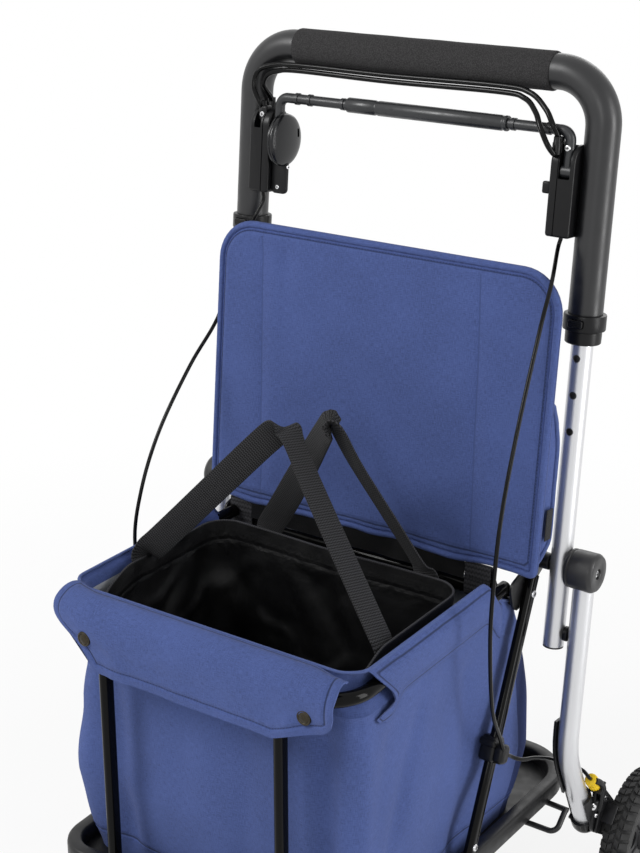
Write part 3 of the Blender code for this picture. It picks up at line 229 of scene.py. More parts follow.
def smooth(route, steps=8):
    """A Catmull-Rom curve through a route's own points."""
    ends = [2 * Vector(route[0]) - Vector(route[1])]
    ends += [Vector(p) for p in route]
    ends.append(2 * Vector(route[-1]) - Vector(route[-2]))
    points = []
    for a, b, c, d in zip(ends, ends[1:], ends[2:], ends[3:]):
        for i in range(steps):
            t = i / steps
            points.append(0.5 * (2 * b + (c - a) * t + (2 * a - 5 * b + 4 * c - d) * t ** 2
                                 + (3 * b - a - 3 * c + d) * t ** 3))
    points.append(ends[-2])
    return points


def evenly(path, step, closed=False):
    """The same path with points a step apart."""
    path = [Vector(p) for p in path]
    if closed:
        path.append(path[0])
    lengths = [0.0]
    for a, b in zip(path, path[1:]):
        lengths.append(lengths[-1] + (b - a).length)
    count = max(2, round(lengths[-1] / step))
    points = []
    at = 0
    for i in range(count if closed else count + 1):
        goal = lengths[-1] * i / count
        while at < len(path) - 2 and lengths[at + 1] < goal:
            at += 1
        run = lengths[at + 1] - lengths[at]
        part = (goal - lengths[at]) / run if run > 1e-9 else 0.0
        points.append(path[at].lerp(path[at + 1], min(part, 1.0)))
    return points


def heading(path, i, closed=False):
    """The direction in which a path runs at one of its points."""
    if closed:
        return (path[(i + 1) % len(path)] - path[i - 1]).normalized()
    return (path[min(i + 1, len(path) - 1)] - path[max(i - 1, 0)]).normalized()


def sweep(path, section, side=(1.0, 0.0, 0.0), scales=None):
    """Rings of one section carried along a path without twist."""
    path = [Vector(p) for p in path]
    rings = []
    across = Vector(side)
    for i, point in enumerate(path):
        ahead = heading(path, i)
        across = (across - ahead * across.dot(ahead)).normalized()
        other = ahead.cross(across)
        scale = scales[i] if scales else 1.0
        rings.append([point + (across * u + other * v) * scale for u, v in section])
    return rings


def turned(profile, count, axis="Z", centre=(0.0, 0.0, 0.0)):
    """Rings from (radius, along) pairs turned about an axis through a centre."""
    rings = []
    for radius, along in profile:
        ring = []
        for u, v in circle(radius, count):
            offset = {"Z": (u, v, along), "X": (along, u, v), "Y": (u, along, v)}[axis]
            ring.append(Vector(centre) + Vector(offset))
        rings.append(ring)
    return rings


def rounded(corners, radii, steps=8):
    """A closed plan outline with each corner rounded by its own radius."""
    count = len(corners)
    points = []
    for i, (corner, radius) in enumerate(zip(corners, radii)):
        corner = Vector(corner)
        back = (Vector(corners[i - 1]) - corner).normalized()
        ahead = (Vector(corners[(i + 1) % count]) - corner).normalized()
        half = back.angle(ahead) / 2
        centre = corner + (back + ahead).normalized() * radius / math.sin(half)
        first = corner + back * radius / math.tan(half) - centre
        last = corner + ahead * radius / math.tan(half) - centre
        start = math.atan2(first.y, first.x)
        whole = (math.atan2(last.y, last.x) - start + math.pi) % math.tau - math.pi
        for j in range(steps + 1):
            turn = start + whole * j / steps
            points.append(centre + Vector((math.cos(turn), math.sin(turn))) * radius)
    return points


def divided(points, counts):
    """A closed outline whose stretches are cut into the given numbers of parts."""
    made = []
    for a, b, count in zip(points, points[1:] + points[:1], counts):
        made += [a.lerp(b, i / count) for i in range(count)]
    return made


def parts_of(points, step):
    """How many parts each stretch of a closed outline is cut into."""
    return [max(1, round((b - a).length / step)) for a, b in zip(points, points[1:] + points[:1])]


def hull(circles, count=40):
    """The outline that wraps circles given as (u, v, radius)."""
    points = sorted((u + a, v + b) for u, v, r in circles for a, b in circle(r, count))
    outline = []
    for row in (points, points[::-1]):
        half = []
        for p in row:
            while len(half) > 1 and turn_of(half[-2], half[-1], p) <= 1e-6:
                half.pop()
            half.append(p)
        outline += half[:-1]
    return outline


def turn_of(a, b, c):
    """Above zero where a path through three points turns left."""
    return (b[0] - a[0]) * (c[1] - a[1]) - (b[1] - a[1]) * (c[0] - a[0])


def shrink(outline, inset):
    """A convex outline moved inwards."""
    points = [Vector(p) for p in outline]
    area = sum(a.x * b.y - b.x * a.y for a, b in zip(points, points[1:] + points[:1]))
    hand = 1 if area > 0 else -1
    made = []
    for i, p in enumerate(points):
        before = (p - points[i - 1]).normalized()
        after = (points[(i + 1) % len(points)] - p).normalized()
        inward = Vector((-(before + after).y, (before + after).x)).normalized() * hand
        cosine = max(0.35, math.cos(before.angle(after) / 2))
        made.append(p + inward * inset / cosine)
    return made


class Shape:
    """Points and faces of a piece, in the millimetres of its place."""

    def __init__(self, place=WORLD):
        self.place = place
        self.points = []
        self.faces = []
        self.corners = []
        self.looks = []
        self.look = 0
        self.marks = []

    def face(self, indices, corners):
        self.faces.append(tuple(indices))
        self.corners.append(tuple(corners))
        self.looks.append(self.look)

    def loft(self, rings, cap=True, loop=False, marks=None):
        """Bridges rings of equal count. A loop's last ring joins its first."""
        rings = [[Vector(p) for p in ring] for ring in rings]
        if marks:
            self.marks += [0.0] * (len(self.points) - len(self.marks))
            self.marks += [SEAM_ZERO + mark for row in marks for mark in row]
        start = len(self.points)
        count = len(rings[0])
        for ring in rings:
            self.points += ring
        middle = rings[len(rings) // 2]
        around = [0.0]
        for a, b in zip(middle, middle[1:] + middle[:1]):
            around.append(around[-1] + (b - a).length)
        pairs = list(zip(rings, rings[1:]))
        if loop:
            pairs.append((rings[-1], rings[0]))
        height = 0.0
        for i, (low, high) in enumerate(pairs):
            rise = height + sum((p - q).length for p, q in zip(low, high)) / count
            first = start + i * count
            second = start + (i + 1) % len(rings) * count
            for j in range(count):
                k = (j + 1) % count
                corners = ((around[j], height), (around[j + 1], height), (around[j + 1], rise),
                           (around[j], rise))
                self.face((first + j, first + k, second + k, second + j), corners)
            height = rise
        if cap and not loop:
            self.cap(range(start + count - 1, start - 1, -1))
            self.cap(range(start + (len(rings) - 1) * count, start + len(rings) * count))
        return self

    def cap(self, indices):
        indices = list(indices)
        self.face(indices, [(self.points[i].x + self.points[i].z, self.points[i].y) for i in indices])

    def tube(self, path, radius, sides=24, side=(1.0, 0.0, 0.0), scales=None):
        return self.loft(sweep(path, circle(radius, sides), side, scales))

    def turn(self, profile, sides=48, axis="Z", centre=(0.0, 0.0, 0.0), loop=False):
        return self.loft(turned(profile, sides, axis, centre), loop=loop)

    def slab(self, outline, low, high, edge=1.0, axis="X"):
        """A flat piece between two places on an axis, its edges rounded."""
        steps = 3
        hand = 1 if high > low else -1
        rings = []
        for i in range(2 * steps + 2):
            near = i <= steps
            turn = math.pi / 2 * (i if near else i - steps - 1) / steps
            inset = edge * (1 - (math.sin(turn) if near else math.cos(turn)))
            rise = edge * (1 - math.cos(turn)) if near else edge * (1 - math.sin(turn))
            along = low + hand * rise if near else high - hand * rise
            place = {"X": lambda p, a=along: (a, p.x, p.y), "Y": lambda p, a=along: (p.x, a, p.y),
                     "Z": lambda p, a=along: (p.x, p.y, a)}[axis]
            rings.append([place(p) for p in shrink(outline, inset)])
        return self.loft(rings)

    def block(self, centre, size, edge=1.0, turn=None, corner=None, axis="X"):
        """A block with rounded edges, turned about its own centre where asked."""
        order = {"X": (0, 1, 2), "Y": (1, 0, 2), "Z": (2, 0, 1)}[axis]
        along, u, v = (size[i] / 2 for i in order)
        corners = [(-u, -v), (u, -v), (u, v), (-u, v)]
        radius = corner if corner else min(edge * 1.5, u * 0.9, v * 0.9)
        start = len(self.points)
        self.slab(rounded(corners, [radius] * 4, 4), -along, along, edge, axis)
        for i in range(start, len(self.points)):
            p = self.points[i]
            self.points[i] = Vector(centre) + (turn @ p if turn else p)
        return self


class Look:
    """A node material grown from its Principled shader."""

    def __init__(self, name, colour, roughness, metallic=0.0, **sockets):
        self.material = bpy.data.materials.new(name)
        self.material.use_nodes = True
        self.tree = self.material.node_tree
        self.shader = self.tree.nodes["Principled BSDF"]
        self.colour = colour
        self.shader.inputs["Base Color"].default_value = (*colour, 1.0)
        self.shader.inputs["Roughness"].default_value = roughness
        self.shader.inputs["Metallic"].default_value = metallic
        for key, value in sockets.items():
            self.shader.inputs[key.replace("_", " ")].default_value = value
        self.normal = None

    def node(self, kind, inputs, output=0, **settings):
        made = self.tree.nodes.new(kind)
        for key, value in settings.items():
            setattr(made, key, value)
        for key, value in inputs.items():
            if isinstance(value, bpy.types.NodeSocket):
                self.tree.links.new(value, made.inputs[key])
            else:
                made.inputs[key].default_value = value
        return made.outputs[output]

    def math(self, operation, first, second=0.0):
        return self.node("ShaderNodeMath", {0: first, 1: second}, operation=operation)

    def mix(self, share, first, second):
        return self.node("ShaderNodeMix", {0: share, 2: first, 3: second}, data_type="FLOAT")

    def spread(self, value, low, high, start=0.0, end=1.0):
        return self.node("ShaderNodeMapRange", {0: value, 1: low, 2: high, 3: start, 4: end})

    def cloth(self):
        """Places along the cloth in millimetres."""
        return self.node("ShaderNodeTexCoord", {}, "UV")

    def solid(self):
        """Places in the whole object in metres."""
        return self.node("ShaderNodeTexCoord", {}, "Object")

    def noise(self, place, scale, detail=2.0, stretch=None, rough=0.5):
        if stretch:
            place = self.node("ShaderNodeVectorMath", {0: place, 1: stretch}, operation="MULTIPLY")
        return self.node("ShaderNodeTexNoise", {"Vector": place, "Scale": scale, "Detail": detail,
                                                "Roughness": rough}, "Fac")

    def tint(self, share, dark, light):
        """Colours the surface between two multiples of its own colour."""
        colours = [(*(min(1.0, c * k) for c in self.colour), 1.0) for k in (dark, light)]
        mixed = self.node("ShaderNodeMix", {0: share, 6: colours[0], 7: colours[1]}, 2, data_type="RGBA")
        self.tree.links.new(mixed, self.shader.inputs["Base Color"])
        return self

    def wear(self, share, smoother, rougher):
        """Varies the roughness."""
        mixed = self.spread(share, 0.3, 0.7, smoother, rougher)
        self.tree.links.new(mixed, self.shader.inputs["Roughness"])
        return self

    def bump(self, height, distance, strength=1.0):
        """Adds relief whose depth is given in metres."""
        inputs = {"Height": height, "Distance": distance, "Strength": strength}
        if self.normal:
            inputs["Normal"] = self.normal
        self.normal = self.node("ShaderNodeBump", inputs)
        self.tree.links.new(self.normal, self.shader.inputs["Normal"])
        return self

    def grained(self, tint=None, wear=None, bump=None):
        """Tone, roughness and relief from noise through the whole object, each led by (scale, detail)."""
        for change, grain in ((self.tint, tint), (self.wear, wear), (self.bump, bump)):
            if grain:
                change(self.noise(self.solid(), *grain[:2]), *grain[2:])
        return self

    def seams(self, shade, depth, name="seam", pull=0.0016):
        """A pressed line of stitches where a piece's seam measure crosses its zero. The groove is a bump.
        The colour times shade drawn along the line is painted shade of the groove where shade is below one,
        and a lighter line where it is above one.
        """
        place = self.node("ShaderNodeAttribute", {}, "Fac", attribute_name=name)
        away = self.math("ABSOLUTE", self.math("SUBTRACT", place, SEAM_ZERO))
        socket = self.shader.inputs["Base Color"]
        # Painted shade: near the seam line the colour is mixed towards its multiple by shade.
        line = self.spread(away, 0.4, 1.3, 0.85, 0.0)
        dark = (*(c * shade for c in self.colour), 1.0)
        plain = socket.links[0].from_socket
        mixed = self.node("ShaderNodeMix", {0: line, 6: plain, 7: dark}, 2, data_type="RGBA")
        self.tree.links.new(mixed, socket)
        gather = self.math("MULTIPLY", self.noise(self.cloth(), 0.16, 2.0),
                           self.spread(away, 2.0, 14.0, 1.0, 0.0))
        self.bump(gather, pull, 0.7)
        return self.bump(self.spread(away, 0.0, 4.0, 0.0, 1.0), depth)

    def weave(self, pitch):
        """The height of a plain weave whose threads are a pitch apart in millimetres."""
        place = self.cloth()
        split = self.tree.nodes.new("ShaderNodeSeparateXYZ")
        self.tree.links.new(place, split.inputs[0])
        threads = []
        for axis in (0, 1):
            turn = self.math("MULTIPLY", split.outputs[axis], math.pi / pitch)
            threads.append(self.math("ABSOLUTE", self.math("SINE", turn)))
        parity = self.node("ShaderNodeTexChecker", {"Vector": place, "Scale": 1 / pitch}, "Fac")
        return self.mix(parity, *threads)


def fabric_looks():
    """The blue cloth, its lining and seams, the coated black cloth and the webbing."""
    blue = Look("blue_cloth", (0.069, 0.105, 0.290), 0.85, Sheen_Weight=0.05, Specular_IOR_Level=0.25)
    heather(blue, 0.85, 0.68, 1.34)
    # The seams are drawn darker along their grooves: painted shade.
    blue.seams(0.26, 0.0009)
    # The panel's pressed folds are drawn darker along their lines: painted shade.
    blue.seams(0.80, 0.0005, "crease", 0.0005)
    trim = Look("blue_binding", (0.078, 0.115, 0.292), 0.85, Sheen_Weight=0.05, Specular_IOR_Level=0.25)
    heather(trim, 0.8, 0.76, 1.24)
    # The darker blue for the rear of the bag's wall is painted shade.
    dark = Look("blue_painted_rear_shade", (0.022, 0.037, 0.130), 0.85, Sheen_Weight=0.03, Specular_IOR_Level=0.2)
    heather(dark, 0.85, 0.8, 1.2)
    lining = Look("lining_cloth", (0.50, 0.52, 0.56), 0.6)
    lining.tint(lining.noise(lining.cloth(), 0.4, 3.0), 0.86, 1.1)
    lining.bump(lining.weave(0.6), 0.0001)
    thread = Look("blue_thread", (0.050, 0.078, 0.235), 0.7, Specular_IOR_Level=0.25)
    thread.tint(thread.noise(thread.solid(), 900, 1.0), 0.8, 1.3)
    coated = Look("coated_cloth", (0.0025, 0.0025, 0.0029), 0.40, Specular_IOR_Level=0.32)
    coated.tint(coated.noise(coated.cloth(), 0.05, 3.0), 0.8, 1.35)
    coated.wear(coated.noise(coated.cloth(), 0.03, 3.0), 0.34, 0.52)
    coated.bump(coated.weave(0.55), 0.00006)
    coated.bump(coated.noise(coated.cloth(), 0.035, 4.0), 0.0016, 0.55)
    coated.seams(2.4, 0.0006)
    return {"blue": blue, "trim": trim, "dark": dark, "lining": lining, "thread": thread, "coated": coated,
            "webbing": webbing_look("webbing_black", (0.0085, 0.0085, 0.0092), 0.15, 5.0),
            "loop": webbing_look("webbing_grey", (0.036, 0.036, 0.040), 0.6, 1.5)}


def heather(look, pitch, dark, light):
    """A melange of threads whose tone varies along them, on a plain weave."""
    place = look.cloth()
    rows = look.noise(place, 1.0, 2.0, (0.16, 1.7, 1.0))
    columns = look.noise(place, 1.0, 2.0, (1.7, 0.16, 1.0))
    threads = look.math("ADD", rows, columns)
    cloud = look.noise(place, 0.012, 3.0)
    share = look.spread(look.math("ADD", threads, look.math("MULTIPLY", cloud, 0.5)), 0.85, 1.65)
    look.tint(share, dark, light)
    look.bump(look.weave(pitch), 0.00016, 0.8)
    look.bump(cloud, 0.0012, 0.35)


def webbing_look(name, colour, dark, light):
    """Woven tape with crosswise ribs that meet in a herringbone, the ribs drawn lighter and the valleys
    darker as painted light and shade.
    """
    look = Look(name, colour, 0.70, Sheen_Weight=0.03, Specular_IOR_Level=0.2)
    place = look.cloth()
    split = look.tree.nodes.new("ShaderNodeSeparateXYZ")
    look.tree.links.new(place, split.inputs[0])
    slope = look.math("PINGPONG", split.outputs[0], 2.0)
    run = look.math("MULTIPLY", look.math("ADD", split.outputs[1], look.math("MULTIPLY", slope, 0.6)),
                    math.pi / 2.7)
    rib = look.math("ABSOLUTE", look.math("SINE", run))
    cord = look.math("ABSOLUTE", look.math("SINE", look.math("MULTIPLY", split.outputs[0], math.pi / 2.0)))
    bead = look.math("MULTIPLY", rib, look.spread(cord, 0.1, 0.8, 0.6, 1.0))
    # Painted light and shade: the tone follows the ribs' height.
    look.tint(look.spread(bead, 0.42, 0.85), dark, light)
    look.bump(bead, 0.0006)
    look.bump(look.noise(place, 2.5, 2.0), 0.0001)
    return look


def metal_looks():
    """Painted, anodised and plated metal."""
    silver = Look("anodised_silver", (0.69, 0.695, 0.71), 0.34, 0.88)
    brushed = silver.noise(silver.cloth(), 1.0, 3.0, (2.2, 0.02, 1.0))
    silver.tint(brushed, 0.88, 1.1)
    silver.wear(brushed, 0.30, 0.42)
    silver.bump(brushed, 0.00001, 0.6)
    made = {"silver": silver}
    for key, name, colour, rough, metallic, shine, *grains in (
            ("paint", "black_paint", (0.0060, 0.0062, 0.0074), 0.36, 0.0, 0.58,
             (35, 3.0, 0.85, 1.2), (60, 3.0, 0.32, 0.44), (1600, 1.0, 0.00002, 0.5)),
            ("gloss", "gloss_paint", (0.0026, 0.0025, 0.0025), 0.07, 0.0, 0.12,
             (20, 2.0, 0.8, 1.25), (30, 3.0, 0.07, 0.12), (260, 2.0, 0.00003, 0.5)),
            ("steel", "black_steel", (0.0060, 0.0060, 0.0066), 0.30, 0.0, 0.4,
             (80, 3.0, 0.8, 1.3), (120, 3.0, 0.28, 0.45), (900, 2.0, 0.00003)),
            ("chrome", "chrome_plate", (0.72, 0.72, 0.73), 0.16, 1.0, 0.5,
             None, (300, 2.0, 0.12, 0.28)),
            ("brass", "antique_metal", (0.050, 0.043, 0.031), 0.34, 1.0, 0.5,
             (500, 3.0, 0.5, 1.5), None, (700, 2.0, 0.00008)),
            ("bar", "grey_bar", (0.016, 0.017, 0.019), 0.26, 0.0, 0.5,
             (60, 3.0, 0.85, 1.2), (150, 3.0, 0.26, 0.42))):
        made[key] = Look(name, colour, rough, metallic, Specular_IOR_Level=shine).grained(*grains)
    return made


def plastic_looks():
    """Moulded plastics, foam and rubber."""
    made = {}
    for name, colour, rough, shine, grain, depth in (
            ("plastic", (0.0046, 0.0046, 0.0052), 0.34, 0.24, 1800, 0.00004),
            ("dome", (0.0050, 0.0055, 0.0070), 0.20, 0.40, 2600, 0.00002),
            ("casting", (0.0060, 0.0060, 0.0068), 0.30, 0.30, 1300, 0.00004),
            ("hub", (0.013, 0.013, 0.014), 0.40, 0.50, 1500, 0.00004),
            ("tray", (0.0060, 0.0060, 0.0066), 0.42, 0.40, 1500, 0.00004),
            ("rim", (0.022, 0.022, 0.024), 0.42, 0.40, 1500, 0.00004),
            ("sheath", (0.0026, 0.0026, 0.0028), 0.13, 0.16, 300, 0.000004),
            ("yellow", (0.84, 0.56, 0.008), 0.40, 0.40, 1800, 0.00004)):
        made[name] = Look(f"{name}_plastic", colour, rough, Specular_IOR_Level=shine)
        made[name].grained((40, 3.0, 0.85, 1.2), (90, 3.0, rough * 0.85, rough * 1.2),
                           (grain, 2.0, depth, 0.7))
    foam = Look("grip_foam", (0.044, 0.043, 0.044), 0.95, Specular_IOR_Level=0.15)
    cells = foam.node("ShaderNodeTexVoronoi", {"Vector": foam.solid(), "Scale": 900.0}, "Distance")
    foam.tint(foam.spread(cells, 0.1, 0.6), 1.6, 0.75)
    foam.bump(cells, 0.0004, 0.8)
    foam.bump(foam.noise(foam.solid(), 60, 3.0), 0.0005, 0.3)
    rubber = Look("tyre_rubber", (0.040, 0.040, 0.040), 0.78, Specular_IOR_Level=0.3)
    rubber.grained((60, 4.0, 0.7, 1.45), (100, 3.0, 0.62, 0.85), (700, 3.0, 0.0001, 0.6))
    # Black for the screws' cross recesses: painted shade.
    hollow = Look("recess_painted_shade", (0.003, 0.003, 0.003), 0.8).grained((300, 2.0, 0.7, 1.3))
    return {**made, "foam": foam, "rubber": rubber, "hollow": hollow}


LOOKS = {**fabric_looks(), **metal_looks(), **plastic_looks()}


def made_mesh(name, shape):
    """A mesh in metres from a shape, its faces turned outwards."""
    work = bmesh.new()
    field = work.verts.layers.float.new("seam") if shape.marks else None
    points = [work.verts.new(shape.place @ p) for p in shape.points]
    for point, mark in zip(points, shape.marks):
        point[field] = mark
    layer = work.loops.layers.uv.new("UVMap")
    for indices, corners, look in zip(shape.faces, shape.corners, shape.looks):
        made = work.faces.new([points[i] for i in indices])
        made.material_index = look
        for loop, corner in zip(made.loops, corners):
            loop[layer].uv = corner
    bmesh.ops.remove_doubles(work, verts=work.verts, dist=MERGE)
    bmesh.ops.recalc_face_normals(work, faces=work.faces)
    mesh = bpy.data.meshes.new(name)
    work.to_mesh(mesh)
    work.free()
    return mesh


def settle(mesh, angle):
    """Smooth shading that breaks at edges sharper than an angle in degrees."""
    mesh.shade_smooth()
    mesh.set_sharp_from_angle(angle=math.radians(angle))


def piece(name, shape, looks, body, nodes=(), angle=38.0):
    """An object from a shape, with its looks, its body and the solids that it stands for."""
    mesh = made_mesh(name, shape)
    settle(mesh, angle)
    return placed(name, mesh, looks, body, nodes)


def stand_in(node, ending, shape, looks, body, angle=38.0):
    """A piece named after the one solid that it stands for."""
    return piece(f"{node}_{ending}", shape, looks, body, [node], angle)


def placed(name, mesh, looks, body, nodes=()):
    """An object in the scene with its looks, its body and the solids that it stands for."""
    made = bpy.data.objects.new(name, mesh)
    bpy.context.collection.objects.link(made)
    for look in looks.split():
        mesh.materials.append(LOOKS[look].material)
    if body:
        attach(made, body)
    if nodes:
        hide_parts(*nodes)
    return made


def bake(made):
    """Makes a piece's modifiers permanent."""
    bpy.context.view_layer.update()
    graph = bpy.context.evaluated_depsgraph_get()
    mesh = bpy.data.meshes.new_from_object(made.evaluated_get(graph))
    made.modifiers.clear()
    made.data = mesh


def carve(target, tools, angle=38.0):
    """Cuts tool shapes out of a piece for good."""
    made = []
    for index, shape in enumerate(tools):
        tool = bpy.data.objects.new(f"tool_{index}", made_mesh("tool", shape))
        bpy.context.collection.objects.link(tool)
        made.append(tool)
        step = target.modifiers.new("cut", "BOOLEAN")
        step.operation = "DIFFERENCE"
        step.object = tool
    bake(target)
    settle(target.data, angle)
    for tool in made:
        bpy.data.objects.remove(tool)
    return target


def dress(node, looks, body, width):
    """A CAD solid's own shape with its edges rounded."""
    work = bmesh.new()
    work.from_mesh(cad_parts[node].data)
    bmesh.ops.remove_doubles(work, verts=work.verts, dist=MERGE)
    bmesh.ops.dissolve_limit(work, angle_limit=math.radians(1.0), verts=work.verts, edges=work.edges)
    edges = [e for e in work.edges if len(e.link_faces) == 2 and e.calc_face_angle() > SHARP]
    bmesh.ops.bevel(work, geom=edges, offset=width * MM, segments=2, profile=0.6, affect="EDGES",
                    clamp_overlap=True)
    mesh = bpy.data.meshes.new(f"{node}_dressed")
    work.to_mesh(mesh)
    work.free()
    settle(mesh, 40.0)
    return placed(f"{node}_dressed", mesh, looks, body, [node])


def stitches(shape, path, pitch=3.6, length=2.5, radius=0.32, closed=False):
    """Short raised threads along a path."""
    line = evenly(path, pitch, closed)
    for i, point in enumerate(line):
        ahead = heading(line, i, closed)
        ends = [point - ahead * length / 2, point - ahead * length / 4, point + ahead * length / 4,
                point + ahead * length / 2]
        shape.loft(sweep(ends, circle(radius, 5), (0.31, 0.22, 0.93), (0.35, 1.0, 1.0, 0.35)))


def screw(shape, centre, out, radius=2.6, height=1.2):
    """A domed screw head with a cross recess painted on it as a thin black cross, looking out along a
    direction.
    """
    turn = Vector((0, 0, 1)).rotation_difference(Vector(out)).to_matrix()
    profile = [(radius, -0.6), (radius, height * 0.35), (radius * 0.86, height * 0.8),
               (radius * 0.5, height), (radius * 0.12, height)]
    rings = [[Vector(centre) + turn @ p for p in ring] for ring in turned(profile, 20)]
    shape.look = 0
    shape.loft(rings)
    # The recess is not cut: a thin black cross stands proud of the head as painted shade.
    shape.look = 1
    for size in ((radius * 1.1, radius * 0.28, 0.2), (radius * 0.28, radius * 1.1, 0.2)):
        shape.block(Vector(centre) + Vector(out).normalized() * (height + 0.02), size, 0.05, turn, axis="Z")
    shape.look = 0


def screws(name, heads, body="frame", place=WORLD):
    """Screw heads given as (centre, way out, radius, height)."""
    shape = Shape(place)
    for head in heads:
        screw(shape, *head)
    piece(name, shape, "chrome hollow", body)


def piped(path, section):
    """Rings of a level section carried round a closed path."""
    up = Vector((0, 0, 1))
    rings = []
    for i, point in enumerate(path):
        side = heading(path, i, True).cross(up).normalized()
        rings.append([point + side * u + up * v for u, v in section])
    return rings


def mirrored(rows, half, crown=None):
    """A wheel's profile from (radius, distance in from its side) rows, the same on both sides."""
    near = [(radius, -half + inset) for radius, inset in rows]
    far = [(radius, half - inset) for radius, inset in reversed(rows)]
    return near + ([(crown, 0)] if crown else []) + far


def spoke(centre, radius, a):
    """A point at a radius and a turn round a wheel's axle."""
    return centre + Vector((0, radius * math.sin(a), radius * math.cos(a)))


def handle_group():
    """The painted tube, the foam grip, and the collars with their buttons."""
    corners = [(-HANDLE_HALF, 0, COLLAR_S[-1] + 4), (-HANDLE_HALF, 0, TOP_S),
               (HANDLE_HALF, 0, TOP_S), (HANDLE_HALF, 0, COLLAR_S[1] + 4)]
    tube = Shape(MAST).tube(fillet(corners, 50, 22), HANDLE_R, 56)
    stand_in("handle_tube", "painted", tube, "paint", "handle")
    half = 152.0
    profile = [(HANDLE_R - 1, -half), (GRIP_R - 1.2, -half), (GRIP_R - 0.4, -half + 0.7),
               (GRIP_R, -half + 2.2)]
    count = 40
    for i in range(1, count):
        x = -half + 2.2 + (2 * half - 4.4) * i / count
        profile.append((GRIP_R + 0.12 * ripple((x, 0, 0), 30), x))
    profile += [(GRIP_R, half - 2.2), (GRIP_R - 0.4, half - 0.7), (GRIP_R - 1.2, half),
                (HANDLE_R - 1, half)]
    grip = Shape(MAST).turn(profile, 56, "X", (0, 0, TOP_S))
    stand_in("foam_grip", "sleeve", grip, "foam", "handle")
    for side, word in SIDES:
        collar(side, word)


def collar(side, word):
    """A collar with its rim, sleeve and clamp seam, and the button in its window."""
    s = COLLAR_S[side]
    x = side * HANDLE_HALF
    profile = [(12.2, s - 22), (17.2, s - 22), (18.2, s - 21), (18.4, s - 14), (18.4, s - 9.4),
               (19.2, s - 8.6), (21.2, s - 8), (21.6, s - 7), (21.6, s + 6.4), (21.2, s + 7.6),
               (20.2, s + 8), (17.4, s + 8), (17.4, s - 14), (12.2, s - 14)]
    shape = Shape(MAST).turn(profile, 64, "Z", (x, 0, 0), loop=True)
    made = stand_in(f"leg_collar_{word}", "moulded", shape, "plastic", "handle")
    window = Shape(MAST).block((x, -21.6, s), (17, 10, 9), 1.0, axis="Y", corner=2.5)
    seam = Shape(MAST).block((x - side * 21, 0, s - 6), (6, 1.2, 34), 0.2)
    carve(made, [window, seam])
    button = Shape(MAST).block((x, -21.4, s), (15.6, 3.2, 7.8), 0.8, axis="Y", corner=2.2)
    for i in range(3):
        button.block((x, -23.1, s + 2 * (i - 1)), (10, 0.7, 0.7), 0.2)
    stand_in(f"height_button_{word}", "moulded", button, "plastic", f"button_{word}")


def housing_outline(inset):
    """The side outline of a brake housing, round at its top, as (y, s)."""
    front, back = HOUSING_FRONT + inset, HOUSING_BACK - inset
    radius = (back - front) / 2
    top = HOUSING_TOP - inset - radius
    corners = rounded([(front, top), (front, HOUSING_BASE + inset), (back, HOUSING_BASE + inset),
                       (back, top)],
                      [0.01, 3.0, 3.0, 0.01], 5)
    points = [p for p in corners if p.y < top - 0.1]
    for i in range(25):
        turn = math.pi * i / 24
        points.append(Vector(((front + back) / 2 + radius * math.cos(turn), top + radius * math.sin(turn))))
    return points


HOUSING_RISE = ((0.0, 2.6), (0.4, 1.2), (1.1, 0.4), (2.6, 0.0), (8.3, 0.0), (8.5, 0.9), (9.3, 0.9),
                (9.5, 0.0), (23.4, 0.0), (24.9, 0.4), (25.6, 1.2), (26.0, 2.6))


def brake_housings():
    """The two housings as moulded halves with a parting line, open above for the arm or the cable."""
    for side, word in SIDES:
        inner = side * (HANDLE_HALF - HOUSING_IN)
        rings = []
        for along, inset in HOUSING_RISE:
            rings.append([(inner + side * along, p.x, p.y) for p in housing_outline(inset)])
        shape = Shape(MAST).loft(rings)
        made = stand_in(f"brake_housing_{word}", "moulded", shape, "plastic", "handle", 34)
        bore = [(HOUSING_BORE_R, HOUSING_BASE - 6), (HOUSING_BORE_R, HOUSING_TOP + 6)]
        tools = [Shape(MAST).turn(bore, 64, "Z", (side * HANDLE_HALF, 0, 0))]
        if side == 1:
            tools.append(Shape(MAST).block((ARM_RIGHT, -28, 436), (12.4, 34, 74), 1.5))
            squeezed = Matrix.Rotation(-SQUEEZE, 3, "X")
            swung = Vector((ARM_RIGHT, BRAKE_Y, BRAKE_S)) + squeezed @ Vector((0, 0, 30))
            tools.append(Shape(MAST).block(swung, (12.4, 14.4, 76), 0.5, squeezed))
        else:
            tools.append(Shape(MAST).block((-184, -24, 424), (8.4, 16, 26), 1.0))
        carve(made, tools, 34)
        housing_trim(side, word, inner)


def housing_trim(side, word, inner):
    """Screws, ribs, a lug and the cable ferrules of a brake housing."""
    heads = []
    if side == -1:
        heads += [((-165.0, HOUSING_FRONT + 0.2, 386.6), (0, -1, 0), 2.6, 1.1),
                  ((-181.3, -24.2, 425.2), (0, -1, 0), 3.0, 1.3)]
    for s in (HOUSING_BASE + 9, HOUSING_TOP - 14):
        heads.append(((inner + side * 0.3, -2, s), (-side, 0, 0), 2.5, 1.0))
    screws(f"housing_screws_{word}", heads, "handle", MAST)
    trim = Shape(MAST)
    if side == 1:
        trim.block((164.6, -24, 389), (8, 7, 12), 1.4)
        trim.block((173.4, -20, 428), (8, 10, 14), 1.6)
    else:
        trim.block((-181.3, -18.5, 426), (10, 11, 17), 1.8)
    exit_x = side * (HANDLE_HALF - 26)
    trim.turn([(3.6, HOUSING_BASE + 2), (3.6, HOUSING_BASE - 0.6), (3.0, HOUSING_BASE - 1.2)], 24, "Z",
              (exit_x, -17, 0))
    ends = [(-184, -19.8), (-184, -3.2)] if side == -1 else [(173, -19.8), (173, -27.8)]
    for x, y in ends:
        top = HOUSING_TOP - (2 if side == 1 or y < -10 else -1)
        trim.turn([(4.4, top - 8), (4.4, top + 3), (3.8, top + 4), (3.6, top + 9)], 24, "Z", (x, y, 0))
    piece(f"housing_trim_{word}", trim, "plastic", "handle")


